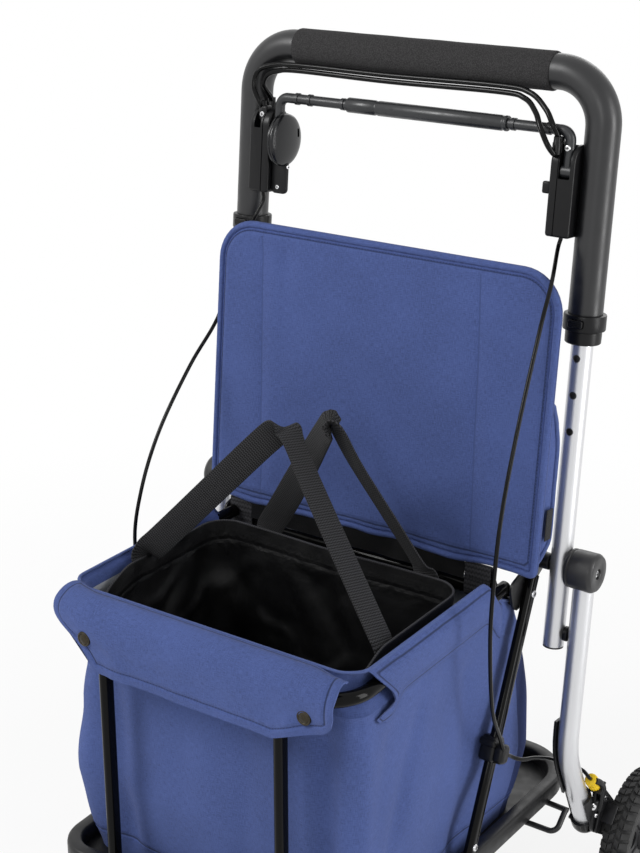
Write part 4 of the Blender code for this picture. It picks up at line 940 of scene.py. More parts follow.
def pivot_cover():
    """The glossy dome on the left housing, the plate under it and their screws."""
    base = -155.5
    centre = (0, -22.0, 400.5)
    profile = [(22.0, base), (27.6, base), (28.2, base + 0.5), (28.2, base + 2.0), (27.2, base + 2.6),
               (27.0, base + 3.2), (27.8, base + 3.8), (27.8, base + 4.4)]
    for i in range(1, 15):
        turn = math.pi / 2 * i / 15
        profile.append((27.8 * math.cos(turn), base + 4.4 + 6.6 * math.sin(turn)))
    dome = Shape(MAST).turn(profile, 72, "X", centre)
    made = piece("pivot_cover_dome", dome, "dome", "handle", ["pivot_cover_left"])
    slot = Shape(MAST).block((base + 9, centre[1] + 17, centre[2] + 7), (9, 4.5, 9), 0.8)
    carve(made, [slot])
    plate = Shape(MAST).block((-157.6, -19.9, 361), (20, 5, 38), 1.4, axis="Y", corner=5.0)
    plate.block((-162.6, -12, 361), (9, 13, 34), 1.4, axis="Y", corner=3.0)
    piece("mechanism_plate", plate, "plastic", "handle")
    screws("mechanism_screws", [((-147.8, -19.8, 371.5), (1, -0.3, 0), 2.2, 1.0),
                                ((-158.7, -22.4, 349.1), (0, -1, 0), 2.4, 1.1)], "handle", MAST)


def brake_bar():
    """The squeeze bar with its elbows, telescopic sleeve and stop rings."""
    top = BRAKE_S + 39
    corners = [(ARM_LEFT, BRAKE_Y, BRAKE_S), (ARM_LEFT, BRAKE_Y, top), (ARM_RIGHT, BRAKE_Y, top),
               (ARM_RIGHT, BRAKE_Y, BRAKE_S)]
    shape = Shape(MAST).tube(fillet(corners, 10, 10), 5.3, 32, (0, 1, 0))
    sleeve = [(5.4, -74), (7.2, -74), (7.8, -73), (7.8, -40), (7.2, -39), (7.2, -36.5), (7.8, -35.5),
              (7.8, 108), (7.2, 109), (7.2, 111), (7.8, 112), (7.8, 114), (7.2, 115), (5.4, 115)]
    shape.turn(sleeve, 40, "X", (0, BRAKE_Y, top))
    for x in (-138.3, -122.0, -80.0, 121.0, 160.0):
        shape.turn([(5.2, x - 2.2), (6.3, x - 1.9), (6.3, x + 1.9), (5.2, x + 2.2)], 32, "X",
                   (0, BRAKE_Y, top))
    for x in (ARM_LEFT, ARM_RIGHT):
        shape.turn([(4, x - 5.8), (6.6, x - 5.6), (6.6, x + 5.6), (4, x + 5.8)], 32, "X",
                   (0, BRAKE_Y, BRAKE_S))
    stand_in("brake_bar", "drawn", shape, "bar", "squeeze_bar")
    screws("brake_bar_screw", [((ARM_RIGHT, BRAKE_Y - 5.2, 428.8), (0, -1, 0), 3.2, 1.6)],
           "squeeze_bar", MAST)


def link_cables():
    """The two cables that join the housings under the grip."""
    out, top, base = HANDLE_HALF, TOP_S, HOUSING_TOP
    routes = {
        "link_cable_upper": [
            (23 - out, -19.8, base - 2), (21 - out, -25, base + 7), (13 - out, -24.5, base + 21),
            (15 - out, -22.5, top - 30), (29 - out, -20, top - 21.5), (67 - out, -19, top - 18.2),
            (-27, -18, top - 19), (100, -18, top - 17.5), (out - 72, -20, top - 21),
            (out - 50, -27, top - 34), (out - 39, -30.5, top - 48), (out - 34.5, -27, top - 58),
            (out - 34, -19.8, base - 2)],
        "link_cable_lower": [
            (23 - out, -3.2, base + 2), (23 - out, -6, base + 10), (20.5 - out, -17, base + 23),
            (26 - out, -19, top - 32), (39 - out, -19, top - 26.5), (67 - out, -19, top - 23.8),
            (-27, -18, top - 25), (100, -18, top - 23.5), (out - 77, -20, top - 27),
            (out - 60, -28, top - 38), (out - 50, -35, top - 51), (out - 40, -37.5, top - 66),
            (out - 35, -33.4, base - 8.3), (out - 34, -27.8, base - 10.7)],
    }
    for name, route in routes.items():
        shape = Shape(MAST).tube(smooth(route, 8), LINK_R, 16, (0, 0, 1))
        piece(f"{name}_sheath", shape, "sheath", "handle", [name])


def upper_tubes():
    """The anodised tubes with their adjusting holes and a dark ring at each foot."""
    for side, word in SIDES:
        x = side * HANDLE_HALF
        profile = [(9.6, -89), (9.6, -90), (10.7, -90), (TUBE_R, -89.5), (TUBE_R, 314), (15.6, 314),
                   (15.6, 334), (9.6, 334), (9.6, 330)]
        shape = Shape(MAST).turn(profile, 48, "Z", (x, 0, 0), loop=True)
        made = stand_in(f"upper_tube_{word}", "anodised", shape, "silver", "mast")
        holes = [Shape(MAST).turn([(4.0, -14), (4.0, -2)], 24, "Y", (x, 0, 222 - 38 * i)) for i in range(3)]
        carve(made, holes, 30)
        ring = Shape(MAST)
        ring.turn([(9.5, -86), (9.5, -90.4), (10.9, -90.6), (10.9, -91.4), (9.0, -91.8), (8.4, -90.6),
                     (8.4, -86)],
                    40, "Z", (x, 0, 0), loop=True)
        piece(f"tube_fittings_{word}", ring, "steel", "mast")


def leg_path():
    """A rear leg's centre line in (y, z): down along the lean, then kicked back to the axle."""
    lean = Vector((-math.sin(LEAN), -math.cos(LEAN)))
    kick = Vector((math.sin(LEG_KICK), -math.cos(LEG_KICK)))
    top = Vector((0, PIVOT_Z))
    end = Vector(LEG_END)
    reach = end - top
    cross = lean.x * kick.y - lean.y * kick.x
    corner = top + lean * (reach.x * kick.y - reach.y * kick.x) / cross
    return fillet([(0, *(top + lean * LEG_START)), (0, *corner), (0, *end)], 90, 16)


def rear_legs():
    """The bent legs, the pivot hubs over their tops and the lock pegs."""
    for side, word in SIDES:
        path = [p + Vector((side * LEG_HALF, 0, 0)) for p in leg_path()]
        shape = Shape().tube(path, TUBE_R, 48)
        stand_in(f"rear_leg_{word}", "anodised", shape, "silver", "frame")
        hub(side, word)
        peg = [(5.0, 218.6), (7.2, 218.6), (8.0, 219.3), (8.0, 222.8), (7.2, 223.5), (5.0, 223.5)]
        place = (0, -74 * math.sin(LEAN), PIVOT_Z - 74 * math.cos(LEAN))
        shape = Shape().turn([(r, side * x) for r, x in peg], 32, "X", place)
        stand_in(f"lock_peg_{word}", "moulded", shape, "plastic", "frame")


def hub(side, word):
    """A pivot hub with its lip, groove and chamfer, and the recessed screw in its face."""
    profile = [(8, 218.4), (19.4, 218.4), (20.4, 219.4), (20.6, 221.6), (19.6, 222.4), (19.5, 223.4),
               (20.8, 224.4), (21.0, 245.4), (20.6, 246.6), (18.6, 249.6), (17.6, 250.0), (6.4, 250.0),
               (5.6, 249.4), (5.4, 247.4), (0.5, 247.4)]
    shape = Shape().turn([(r, side * x) for r, x in profile], 72, "X", (0, 0, PIVOT_Z))
    stand_in(f"pivot_hub_{word}", "moulded", shape, "hub", "frame")
    screws(f"hub_screw_{word}", [((side * 247.2, 0, PIVOT_Z), (side, 0, 0), 4.2, 1.4)])


def bag_frame():
    """The glossy rail, crossbar, front bars and slanted side tubes, and the plates that join them."""
    corners = [(-RAIL_HALF, -59.5, RAIL_Z), (-RAIL_HALF, RAIL_FRONT, RAIL_Z),
               (RAIL_HALF, RAIL_FRONT, RAIL_Z), (RAIL_HALF, -59.5, RAIL_Z)]
    rail = Shape().tube(fillet(corners, 45, 20), RAIL_R, 40, (0, 0, 1))
    stand_in("bag_rail", "painted", rail, "gloss", "frame")
    profile = [(6.5, -CROSS_HALF), (CROSS_R - 0.6, -CROSS_HALF), (CROSS_R, -CROSS_HALF + 0.8),
               (CROSS_R, CROSS_HALF - 0.8), (CROSS_R - 0.6, CROSS_HALF), (6.5, CROSS_HALF)]
    bar = Shape().turn(profile, 48, "X", (0, CROSS_Y, CROSS_Z))
    stand_in("crossbar", "painted", bar, "gloss", "frame")
    for side, word in SIDES:
        x = side * 106.0
        path = [(x, RAIL_FRONT, TRAY_TOP), (x, RAIL_FRONT, RAIL_Z - RAIL_R + 1.2)]
        rings = sweep(path, stadium(10, 16, 14), (1, 0, 0))
        stand_in(f"front_bar_{word}", "painted", Shape().loft(rings), "gloss", "frame")
        side_tube(side, word)
        dress(f"side_bracket_{word}", "steel", "frame", 0.5)


def side_tube(side, word):
    """A slanted tube with a plugged top, bolts at both ends and the cable clip round it."""
    top = Vector((side * DIAGONAL_X, *DIAGONAL_TOP))
    foot = Vector((side * DIAGONAL_X, *DIAGONAL_FOOT))
    along = (top - foot).normalized()
    ends = [foot - along * 2, foot, top + along * 5.2, top + along * 6, top + along * 6.4]
    rings = sweep(ends, stadium(10, 16, 14), (1, 0, 0), (1.0, 1.0, 1.0, 0.93, 0.7))
    rings[0] = [p - along * ((p.z - foot.z) / along.z) for p in rings[1]]
    stand_in(f"side_tube_{word}", "painted", Shape().loft(rings[:1] + rings[2:]), "gloss", "frame")
    out = Vector((side * 5, 0, 0))
    heads = [(foot.lerp(top, at) + out, (side, 0, 0), 4.0, 1.8) for at in (0.045, 0.955)]
    screws(f"side_bolts_{word}", heads)
    cable_clip(side, word, along)


def cable_clip(side, word, along):
    """The moulded clip: a clamp round the slanted tube and a knot that the cable bends through."""
    tilt = Matrix.Rotation(-math.atan2(along.y, along.z), 3, "X")
    middle = Vector((side * 191.6, diagonal_y(CLIP_Z), CLIP_Z))
    shape = Shape()
    for place, size, edge, corner in (((-4.5, 0.5, 0.5), (17, 21.5, 27), 3.0, 4.0),
                                      ((-4.5, -1, 7), (19.5, 24, 9), 3.0, 4.0),
                                      ((8.0, -0.5, -2.0), (13.5, 17, 21), 4.5, 6.0),
                                      ((3.0, 4.0, -7.0), (17, 15, 14), 4.0, 5.0)):
        spot = Vector((side * place[0], place[1], place[2]))
        shape.block(middle + tilt @ spot, size, edge, tilt, corner)
    stand_in(f"cable_clip_{word}", "moulded", shape, "plastic", "frame")


def diagonal_y(z):
    """Where the slanted tubes are at a height."""
    part = (DIAGONAL_TOP[1] - z) / (DIAGONAL_TOP[1] - TRAY_TOP)
    return DIAGONAL_TOP[0] + (DIAGONAL_FOOT[0] - DIAGONAL_TOP[0]) * part


def adjuster_line():
    """The ends of a cable adjuster's axis, on the right side."""
    first = Vector((LEG_HALF + 14, LEG_END[0] - 19, LEG_END[1] + 64))
    return first, first + Vector((0, 13.2, -15.0))


def brake_route(side):
    """A brake cable's route from its housing over the clip to the wheel brake."""
    x = HANDLE_HALF
    start = []
    ahead = 5.0 if side == 1 else 0.0
    for s, forward in ((HOUSING_BASE - 1.6, 0.0), (HOUSING_BASE - 12, ahead)):
        start.append((x - 26, -17 * math.cos(LEAN) + s * math.sin(LEAN) - forward,
                      PIVOT_Z + s * math.cos(LEAN) + 17 * math.sin(LEAN)))
    bow = {1: [(x - 10, -35, 750), (x - 1, -72, 716), (x + 7, -124, 633), (x + 8.5, -153, 551),
               (x + 8.5, -163.5, 472), (x + 6.5, -160, 415), (x + 1, -140, 338)],
           -1: [(x - 20, 2, 753), (x - 2, -10, 700), (x + 7, -31, 645), (x + 7.5, -81, 603),
                (x + 8, -136, 544), (x + 8, -170, 485), (x + 8, -184, 425), (x + 5, -170, 350)]}
    clip_y = diagonal_y(CLIP_Z)
    low = [(x - 3, clip_y - 13, 291), (x - 3, clip_y - 3, 271), (x - 3, clip_y + 11, 258),
           (x + 3, -74, 248), (x + 7, -50, 239), (x + 10, -24, 226), (x + 10.3, -10, 217),
           (x + 11.5, 8.5, 208), (x + 20, 15.5, 201), (x + 32, 17.5, 197)]
    first, last = adjuster_line()
    along = (last - first).normalized()
    low += [first - along * 5 + Vector((-1, 0, 0)), first, first + along * 9]
    points = [Vector(p) for p in start + bow[side] + low]
    return [Vector((side * p.x, p.y, p.z)) for p in points], len(start) + 2


def brake_cables():
    """Each brake cable in two runs, cut where the upper run meets the lower."""
    for side, word in SIDES:
        route, middle = brake_route(side)
        line = smooth(route, 8)
        cut = middle * 8
        upper = piece(f"brake_cable_{word}_upper", Shape().tube(line[:cut + 1], CABLE_R, 16), "sheath",
                      None)
        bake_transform(upper)
        lower = piece(f"brake_cable_{word}_lower", Shape().tube(line[cut:], CABLE_R, 16), "sheath", None)
        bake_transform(lower)
        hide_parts(f"brake_cable_{word}")
        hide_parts(f"brake_cable_{word}")


def tray_outline(inset):
    """The tray's plan outline, moved inwards."""
    rear, front = TRAY_REAR - inset, TRAY_FRONT + inset
    corners = [(TRAY_HALF - inset, rear), (-TRAY_HALF + inset, rear), (-TRAY_FRONT_HALF + inset, front),
               (TRAY_FRONT_HALF - inset, front)]
    return rounded(corners, [62 - inset] * 2 + [40 - inset] * 2, 14)


def base_tray():
    """The moulded tray with its rounded rim and a ribbed underside, and the rods that stay the legs."""
    top, low = TRAY_TOP, TRAY_LOW
    steps = [(6, low), (1.2, low + 1), (0, low + 3), (0, top - 5), (0.5, top - 2.5), (1.6, top - 0.9),
             (3.6, top), (12.4, top), (14.4, top - 0.9), (15.6, top - 2.5), (16, top - 5), (16, 141)]
    shape = Shape().loft([[(p.x, p.y, z) for p in tray_outline(inset)] for inset, z in steps])
    for y in (-300, -200, -100, 0):
        shape.block((0, y, low - 1.5), (330, 4, 4), 1.0)
    stand_in("base_tray", "moulded", shape, "tray", "frame")
    z = low - 3.5
    y = LEG_END[0] - 8
    for side, word in SIDES:
        corners = [(219.3, y, z), (149.9, y + 4, z), (149.9, y - 46, z), (228, y - 46, z),
                   (228, 3.0, 152.0)]
        path = [Vector((side * p.x, p.y, p.z)) for p in fillet(corners, 9, 8)]
        rod = Shape().tube(path, 3.2, 20, (0, 0, 1))
        stand_in(f"stay_rod_{word}", "bent", rod, "steel", "frame")


def hub_brackets():
    """The castings at the legs' feet, open in front of the tubes, with screws, a lug and a glossy cup."""
    kick = Vector((0, math.sin(LEG_KICK), -math.cos(LEG_KICK)))
    out = Vector((0, kick.z, -kick.y))
    turn = Matrix.Rotation(LEG_KICK, 3, "X")
    for side, word in SIDES:
        made = dress(f"hub_bracket_{word}", "casting", "frame", 1.0)
        end = Vector((side * LEG_HALF, *LEG_END))
        window = end - kick * 27 + out * 9.5 - Vector((side * 2.2, 0, 0))
        carve(made, [Shape().block(window, (28, 15, 48), 0.5, turn)])
        cup = [(0.90, -2.6), (1.0, -1.8), (1.0, 5.0), (0.98, 9.0), (0.90, 12.5), (0.74, 15.0), (0.45, 16.4)]
        path = [end + kick * along for _, along in cup]
        shape = Shape().tube(path, 14.7, 40, scales=[scale for scale, _ in cup])
        piece(f"hub_cup_{word}", shape, "gloss", "frame")
        lug = [(254.0, 17, 190), (257.0, 25, 184), (257.0, 33, 172), (254.5, 36, 158), (252.5, 37, 142)]
        shape = Shape().tube([(side * p.x, p.y, p.z) for p in smooth(lug, 6)], 3.6, 20, (0, 1, 0))
        shape.block((side * 249.5, 32, 150), (8, 10, 14), 2.0)
        piece(f"adjuster_lug_{word}", shape, "casting", "frame")
        screws(f"bracket_screws_{word}", [((side * 249.0, 26.6, 150), (side * 0.3, -1, 0.3), 4.3, 1.8),
                                          ((side * 251.4, 31, 137), (side, -0.4, 0.2), 2.4, 1.0),
                                          ((side * 251.4, 41, 126), (side, 0, 0), 2.6, 1.2)])
        adjuster(side, word)
        brake_lever(side, word)


def brake_lever(side, word):
    """A brake lever: a slim plate on its pivot screw and a narrow curved shoe over the tyre."""
    pivot = (LEG_END[0] - 1, LEG_END[1] - 7)
    low = PLATE_X + 4.3
    outline = hull([(*pivot, 6), (pivot[0] + 11, pivot[1] + 32, 6), (pivot[0] + 15, pivot[1] + 14, 5)])
    outline = [Vector(p) for p in outline]
    shape = Shape().slab(outline, side * low, side * (low + 3), 0.8)
    arc = []
    for radius, turns in ((WHEEL_R + 3.6, range(130, 146)), (WHEEL_R + 8.2, range(145, 129, -1))):
        for t in turns:
            a = math.radians(t)
            arc.append(Vector((AXLE_Y + radius * math.cos(a), WHEEL_R + radius * math.sin(a))))
    shape.slab(arc, side * (low + 0.5), side * (low + 17), 0.9)
    stand_in(f"brake_lever_{word}", "shaped", shape, "casting", f"lever_{word}")
    head = ((side * (low + 3), pivot[0] + 11, pivot[1] + 32), (side, 0, 0), 3.4, 1.4)
    screws(f"lever_screw_{word}", [head], f"lever_{word}")


def adjuster(side, word):
    """The fluted yellow thumbwheel that the brake cable runs into."""
    first, last = adjuster_line()
    axis = (last - first).normalized()
    length = (last - first).length
    turn = Vector((0, 0, 1)).rotation_difference(axis).to_matrix()
    rings = []
    for radius, along in ((5.3, 0), (6.6, 1.0), (7.3, 2.4), (7.4, 4), (7.4, 8), (7.2, 9), (6.3, 9.6),
                          (6.3, 11.4), (7.2, 12.2), (7.4, 13), (7.4, 17), (7.1, 19), (6.4, length)):
        ring = []
        for i in range(96):
            a = math.tau * i / 96
            flute = 0.5 * max(0.0, math.cos(16 * a)) * (1 if radius > 6.8 else 0)
            ring.append(Vector((side * first.x, first.y, first.z))
                        + turn @ Vector(((radius - flute) * math.cos(a), (radius - flute) * math.sin(a),
                                         along)))
        rings.append(ring)
    stand_in(f"cable_adjuster_{word}", "fluted", Shape().loft(rings), "yellow", "frame", 50)


def rear_wheels():
    """The treaded tyres and the pierced rims."""
    for side, word in SIDES:
        centre = Vector((side * (WHEEL_X + TYRE_WIDTH / 2), AXLE_Y, WHEEL_R))
        tyre(word, centre)
        rim(word, centre)


def tyre(word, centre):
    """A tyre's carcass with ribbed walls and a tread of shoulder and centre blocks."""
    half = TYRE_WIDTH / 2
    profile = mirrored([(58, 3), (60, 0.9), (63, 0.4), (63.6, 1.0), (64.4, 0.4), (69, 0), (72, 0.6),
                        (74.2, 3.4), (75.2, 7)], half, 75.6)
    shape = Shape().turn(profile, 96, "X", centre, loop=True)
    count = 44
    for i in range(count):
        for hand in (-1, 1):
            at = math.tau * (i + (0.5 if hand > 0 else 0.0)) / count
            tread_block(shape, centre, hand, at, (7.2, 15.6), 0.103, 0.028)
            tread_block(shape, centre, hand, at + 0.05, (1.0, 6.0), 0.095, -0.05)
    stand_in(f"rear_tyre_{word}", "treaded", shape, "rubber", f"wheel_{word}")


def tread_block(shape, centre, hand, at, across, width, slant):
    """One block of the tread, curved with the tyre and dropping over its shoulder."""
    rings = []
    for outer, inset in ((74.0, 1.0), (78.0, 0.86)):
        ring = []
        for share, turn in ((0.0, -1), (0.5, -1), (1.0, -1), (1.0, 1), (0.5, 1), (0.0, 1)):
            x = across[0] + (across[1] - across[0]) * share
            radius = outer - 4.2 * smoothstep((x - 9) / 7) ** 1.3
            a = at + slant * share + turn * width / 2 * inset
            ring.append(centre + Vector((hand * x, radius * math.sin(a), radius * math.cos(a))))
        rings.append(ring)
    shape.loft(rings)


def rim(word, centre):
    """A rim with a hub, five round openings and ribs between them."""
    half = TYRE_WIDTH / 2
    disc = mirrored([(6.4, 0.6), (14.2, 0.6), (15, 1.6), (17, half - 5.5), (18, half - 5), (49, half - 5),
                     (50, half - 6), (50.7, 4.6), (51.6, 4), (57.7, 4)], half)
    shape = Shape().turn(disc, 80, "X", centre, loop=True)
    made = stand_in(f"rear_rim_{word}", "pierced", shape, "rim", f"wheel_{word}")
    tools = []
    for i in range(5):
        a = math.tau * i / 5
        tools.append(Shape().turn([(11.5, -12), (11.5, 12)], 40, "X", spoke(centre, 33, a)))
    carve(made, tools, 32)
    ribs = Shape()
    for i in range(5):
        a = math.tau * (i + 0.5) / 5
        spin = Matrix.Rotation(-a, 3, "X")
        ribs.block(spoke(centre, 33, a), (14, 4, 31), 1.2, spin)
    piece(f"rim_ribs_{word}", ribs, "rim", f"wheel_{word}")


def casters():
    """The front casters: socket, fork, tyre and wheel disc."""
    for side, word in SIDES:
        x = side * CASTER_HALF
        shell = [(6.4, 121.7), (14.8, 121.7), (16.4, 122.4), (17, 124), (17, 133), (18.4, 136.6),
                 (6.4, 136.6)]
        shape = Shape().turn(shell, 48, "Z", (x, CASTER_Y, 0), loop=True)
        stand_in(f"caster_socket_{word}", "moulded", shape, "casting", "frame")
        dress(f"caster_fork_{word}", "casting", f"fork_{word}", 1.3)
        centre = Vector((x, CASTER_Y + CASTER_TRAIL, CASTER_R))
        half = CASTER_WIDTH / 2
        tread = mirrored([(38, 3.2), (40, 0.9), (44, 0), (48.6, 0.9), (52.4, 3.6), (54.3, 7)], half, 54.9)
        body = f"front_wheel_{word}"
        shape = Shape().turn(tread, 80, "X", centre, loop=True)
        for at in (-4, 0, 4):
            shape.turn([(54.2, at - 0.9), (55.0, at - 0.5), (55.0, at + 0.5), (54.2, at + 0.9)], 80, "X",
                       centre)
        piece(f"caster_tyre_{word}", shape, "rubber", body, [f"caster_wheel_{word}"])
        disc = mirrored([(4.4, 0.5), (10.4, 0.5), (11, 1.2), (12.6, 4.6), (33, 5), (35, 3), (38.4, 2.8)],
                        half)
        wheel = Shape().turn(disc, 64, "X", centre, loop=True)
        for i in range(6):
            a = math.tau * i / 6
            spin = Matrix.Rotation(-a, 3, "X")
            wheel.block(spoke(centre, 22, a), (20, 3, 23), 1.0, spin)
        piece(f"caster_disc_{word}", wheel, "rim", body, [f"caster_wheel_{word}"])


def bag_rim(y):
    """The height of the bag's top edge, which drops behind the rail towards the crossbar."""
    return BAG_TOP - 31 * smoothstep((y + 105) / 38) - 7 * smoothstep((y + 70) / 20)


REAR_SWELL = ((141, 6.0), (176, 11.0), (202, 15.0), (250, 13.0), (294, 7.5), (330, 0.0), (361, -8.0),
              (382, -18.0), (400, -28.0), (500, -28.0))


def read(table, at, eased=False):
    """A value read off a short table of (place, value) pairs, straight or eased between them."""
    for (a, low), (b, high) in zip(table, table[1:]):
        if at <= b:
            part = max(0.0, (at - a) / (b - a))
            return low + (high - low) * (smoothstep(part) if eased else part)
    return table[-1][1]


def rounded_read(table, at, reach):
    """A straight reading whose corners are rounded over a reach to both sides."""
    return sum(read(table, at + step) for step in (-reach, 0, reach)) / 3


def bag_rear(z):
    """Where the bag's rear panel is at a height: it hangs from the crossbar and swells back."""
    return rounded_read(REAR_SWELL, z, 10)


def hem_share(x, y):
    """One where the wall lies inside the side rail, falling to nothing on the front and at the crossbar."""
    return smoothstep((abs(x) - 148) / 22) * smoothstep((-64 - y) / 16)


def bag_columns():
    """Plan points of the bag's wall as (x, part of the depth from front to rear)."""
    depth = BAG_REAR - BAG_FRONT
    corners = [(BAG_HALF, 0), (BAG_HALF, depth), (-BAG_HALF, depth), (-BAG_HALF, 0)]
    outline = rounded(corners, [24.0] * 4, 8)
    return [(p.x, p.y / depth) for p in divided(outline, parts_of(outline, BAG_STEP))]


HEM_OUT = ((0.0, -0.5), (0.12, -2.6), (0.35, -6.1), (0.6, -6.8), (0.8, -5.7), (0.92, -3.0), (1.0, 1.6))
HEM_IN = ((0.0, 0.0), (0.12, 3.4), (0.35, 9.2), (0.6, 10.4), (0.8, 9.0), (0.92, 6.2), (1.0, 2.4))


def bag_levels():
    """(level, inside) up the outside, over the top edge and down the lining."""
    outside = [(i / 34, 0) for i in range(35)]
    outside += [(1 + m, 0) for m in (0.02, 0.05, 0.1, 0.17, 0.26, 0.36, 0.47, 0.58, 0.69, 0.79, 0.87, 0.93,
                                     0.975)]
    inside = [(1 + m, 1) for m in (1.0, 0.975, 0.93, 0.87, 0.79, 0.69, 0.58, 0.47, 0.36, 0.26, 0.17, 0.1,
                                   0.05)]
    inside += [(1 - i / 14, 1) for i in range(15)]
    return outside + inside


def bag_point(x, part, level, inside):
    """A point of the bag's cloth, folds and sag included."""
    rim_height = bag_rim(BAG_FRONT + part * (bag_rear(CROSS_Z) - BAG_FRONT))
    seam = rim_height - HEM
    low = BAG_LOW + (1.8 if inside else 0.0)
    z = low + (seam - low) * level if level <= 1 else seam + (rim_height - seam) * (level - 1)
    y = BAG_FRONT + part * (bag_rear(z) - BAG_FRONT)
    plain = 1.8 if inside else 0.0
    if level > 1:
        edge = smoothstep((level - 1.9) / 0.1)
        plain += (0.9 - plain) * edge
        plain += read(HEM_IN, level - 1, True) * hem_share(x, y)
    inset = plain + 10.0 * max(0.0, 1 - level / 0.36) - bag_fold(x, part, z, level)
    middle = (BAG_FRONT + bag_rear(z)) / 2
    half = (bag_rear(z) - BAG_FRONT) / 2
    y = middle + (y - middle) * (half - inset) / half
    return Vector((x * (BAG_HALF - inset) / BAG_HALF, y, z))


def bag_fold(x, part, z, level):
    """How far the cloth stands out: folds below the hem, puckers at the seams, soft unevenness."""
    free = smoothstep((0.99 - level) / 0.14) * smoothstep((z - BAG_LOW) / 40)
    across = part * 348 if abs(x) > BAG_HALF - 26 else 348 + x
    fold = 3.0 * ripple((across * 1.2, z * 0.16, 7.0 if x > 0 else 3.0), 62) - 1.2
    fold += 1.2 * ripple((across, z, 21.0), 50)
    if abs(x) > BAG_HALF - 20:
        for at, lean, depth in ((122, -0.39, 4.2), (218, -0.10, 3.0), (60, -0.22, 3.0)):
            fold -= depth * bell((part * 348 - at - lean * (395 - z)) / 13) * smoothstep((408 - z) / 60)
    else:
        for at, lean, depth in ((-128, 0.05, 3.6), (52, -0.05, 3.0), (142, 0.06, 4.2)):
            fold -= depth * bell((x - at - lean * (395 - z)) / 15) * smoothstep((430 - z) / 60)
    fold = min(fold, 2.2)
    corner = smoothstep((-x - 110) / 60) * smoothstep((0.36 - part) / 0.3)
    fold += corner * (8.5 * smoothstep((330 - z) / 120) - 7.5 * smoothstep((z - 315) / 50))
    pucker = bell((level - 0.97) / 0.05) * 0.5 * math.sin(across * 0.55)
    seam = -0.8 * bell((level - 1.0) / 0.012)
    return fold * free + pucker + seam


def outer_bag():
    """The blue bag, its lining, the sleeves over the rails and its stitched seams, with painted shade at
    its rear.
    """
    columns = bag_columns()
    shape = Shape()
    rings, marks = [], []
    for level, inside in bag_levels():
        rings.append([bag_point(x, part, level, inside) for x, part in columns])
        away = NO_SEAM if inside else min((level - 0.10) * 260, NO_SEAM)
        marks.append([away] * len(columns))
    shape.loft(rings[:OUTSIDE_RINGS], cap=False, marks=marks[:OUTSIDE_RINGS])
    # The rear of the outer wall, below the rim, takes the darker blue: painted shade.
    for index in range(PAINTED_SHADE_RINGS * len(columns)):
        if columns[index % len(columns)][1] > PAINTED_SHADE_PART:
            shape.looks[index] = 2
    shape.look = 1
    first = len(shape.looks)
    shape.loft(rings[OUTSIDE_RINGS - 1:], cap=False, marks=marks[OUTSIDE_RINGS - 1:])
    for index in range(first, first + BLUE_INSIDE_ROWS * len(columns)):
        shape.looks[index] = 0
    for ring in (rings[0], rings[-1]):
        start = len(shape.points)
        shape.points += ring
        shape.look = 0 if ring is rings[0] else 1
        shape.cap(range(start, start + len(ring)))
    stand_in("outer_bag", "sewn", shape, "blue lining dark", "frame", 60)
    rim = [bag_point(x, part, 2.0, 0) + Vector((0, 0, 1.0)) for x, part in columns]
    rings = piped(rim, [(1.3 * u, v) for u, v in circle(1.5, 10)])
    piece("bag_mouth_welt", Shape().loft(rings, loop=True), "trim", "frame", (), 60)
    for side, word in SIDES:
        bag_sleeve(side, word)
    bag_seams(columns)


SLEEVE_EDGE = ((-0.04, -290.0), (0.0, -293.5), (0.07, -304.5), (0.15, -309.0), (0.2, -301.5),
               (0.236, -286.0), (0.32, -281.2), (0.457, -285.2), (0.666, -297.7), (0.87, -310.0),
               (1.0, -316.0))
TAB_DROP = 16.0


def bag_sleeve(side, word):
    """The outer layer of a side hem: it comes off the wall, wraps the rail and closes at the mouth."""
    shares = [-0.04, 0.0, 0.035, 0.07, 0.11, 0.15, 0.18, 0.21, 0.235, 0.26, 0.3, 0.34, 0.42, 0.5, 0.58,
              0.66, 0.74, 0.82, 0.89, 0.94, 0.97, 1.0]
    rings, marks = [], []
    count = 60
    for i in range(count + 1):
        near, far, row = [], [], []
        for share in shares:
            start = read(SLEEVE_EDGE, share)
            y = start + (-72 - start) * i / count
            keep = smoothstep((-66 - y) / 26)
            tall = HEM + TAB_DROP * smoothstep((-262 - y) / 22)
            z = bag_rim(y) - tall + tall * share + 1.0 * smoothstep((share - 0.8) / 0.2)
            inset = read(HEM_OUT, max(share, 0.0), True) * (0.25 + 0.75 * keep)
            free = smoothstep(share / 0.3) * smoothstep((1 - share) / 0.2)
            inset -= 0.7 * ripple((y, share * 40, 60.0), 34) * free
            inset = min(inset, -5.9) if 0.45 < share < 0.75 and y < -80 else inset
            inset -= 1.6 * smoothstep((0.16 - share) / 0.08) * smoothstep((-250 - y) / 20)
            near.append((side * (BAG_HALF - inset), y, z))
            far.append((side * (BAG_HALF - inset - (0.5 + 0.7 * smoothstep(share / 0.2))), y, z - 0.4))
            row.append(min(tall * share - 3.4, y - start - 4.6, tall * (1 - share) - 4.0))
        rings.append(near + far[::-1])
        marks.append(row + row[::-1])
    shape = Shape().loft(rings, marks=marks)
    piece(f"bag_sleeve_{word}", shape, "blue", "frame", (), 60)


def bag_seams(columns):
    """Stitch rows along the sleeves and round the foot."""
    rows = Shape()
    for level in (0.112, 0.088):
        path = [bag_point(x, part, level, 0) for x, part in columns]
        middle = sum(path, Vector()) / len(path)
        path = [p + Vector((p.x - middle.x, p.y - middle.y, 0)).normalized() * 0.25 for p in path]
        stitches(rows, path, closed=True)
    for side in (-1, 1):
        path = []
        for i in range(34):
            y = -258 + 182 * i / 33
            path.append((side * (BAG_HALF + 1.3), y, bag_rim(y) - HEM + 3.4))
        stitches(rows, path)
    piece("bag_stitches", rows, "thread", "frame")


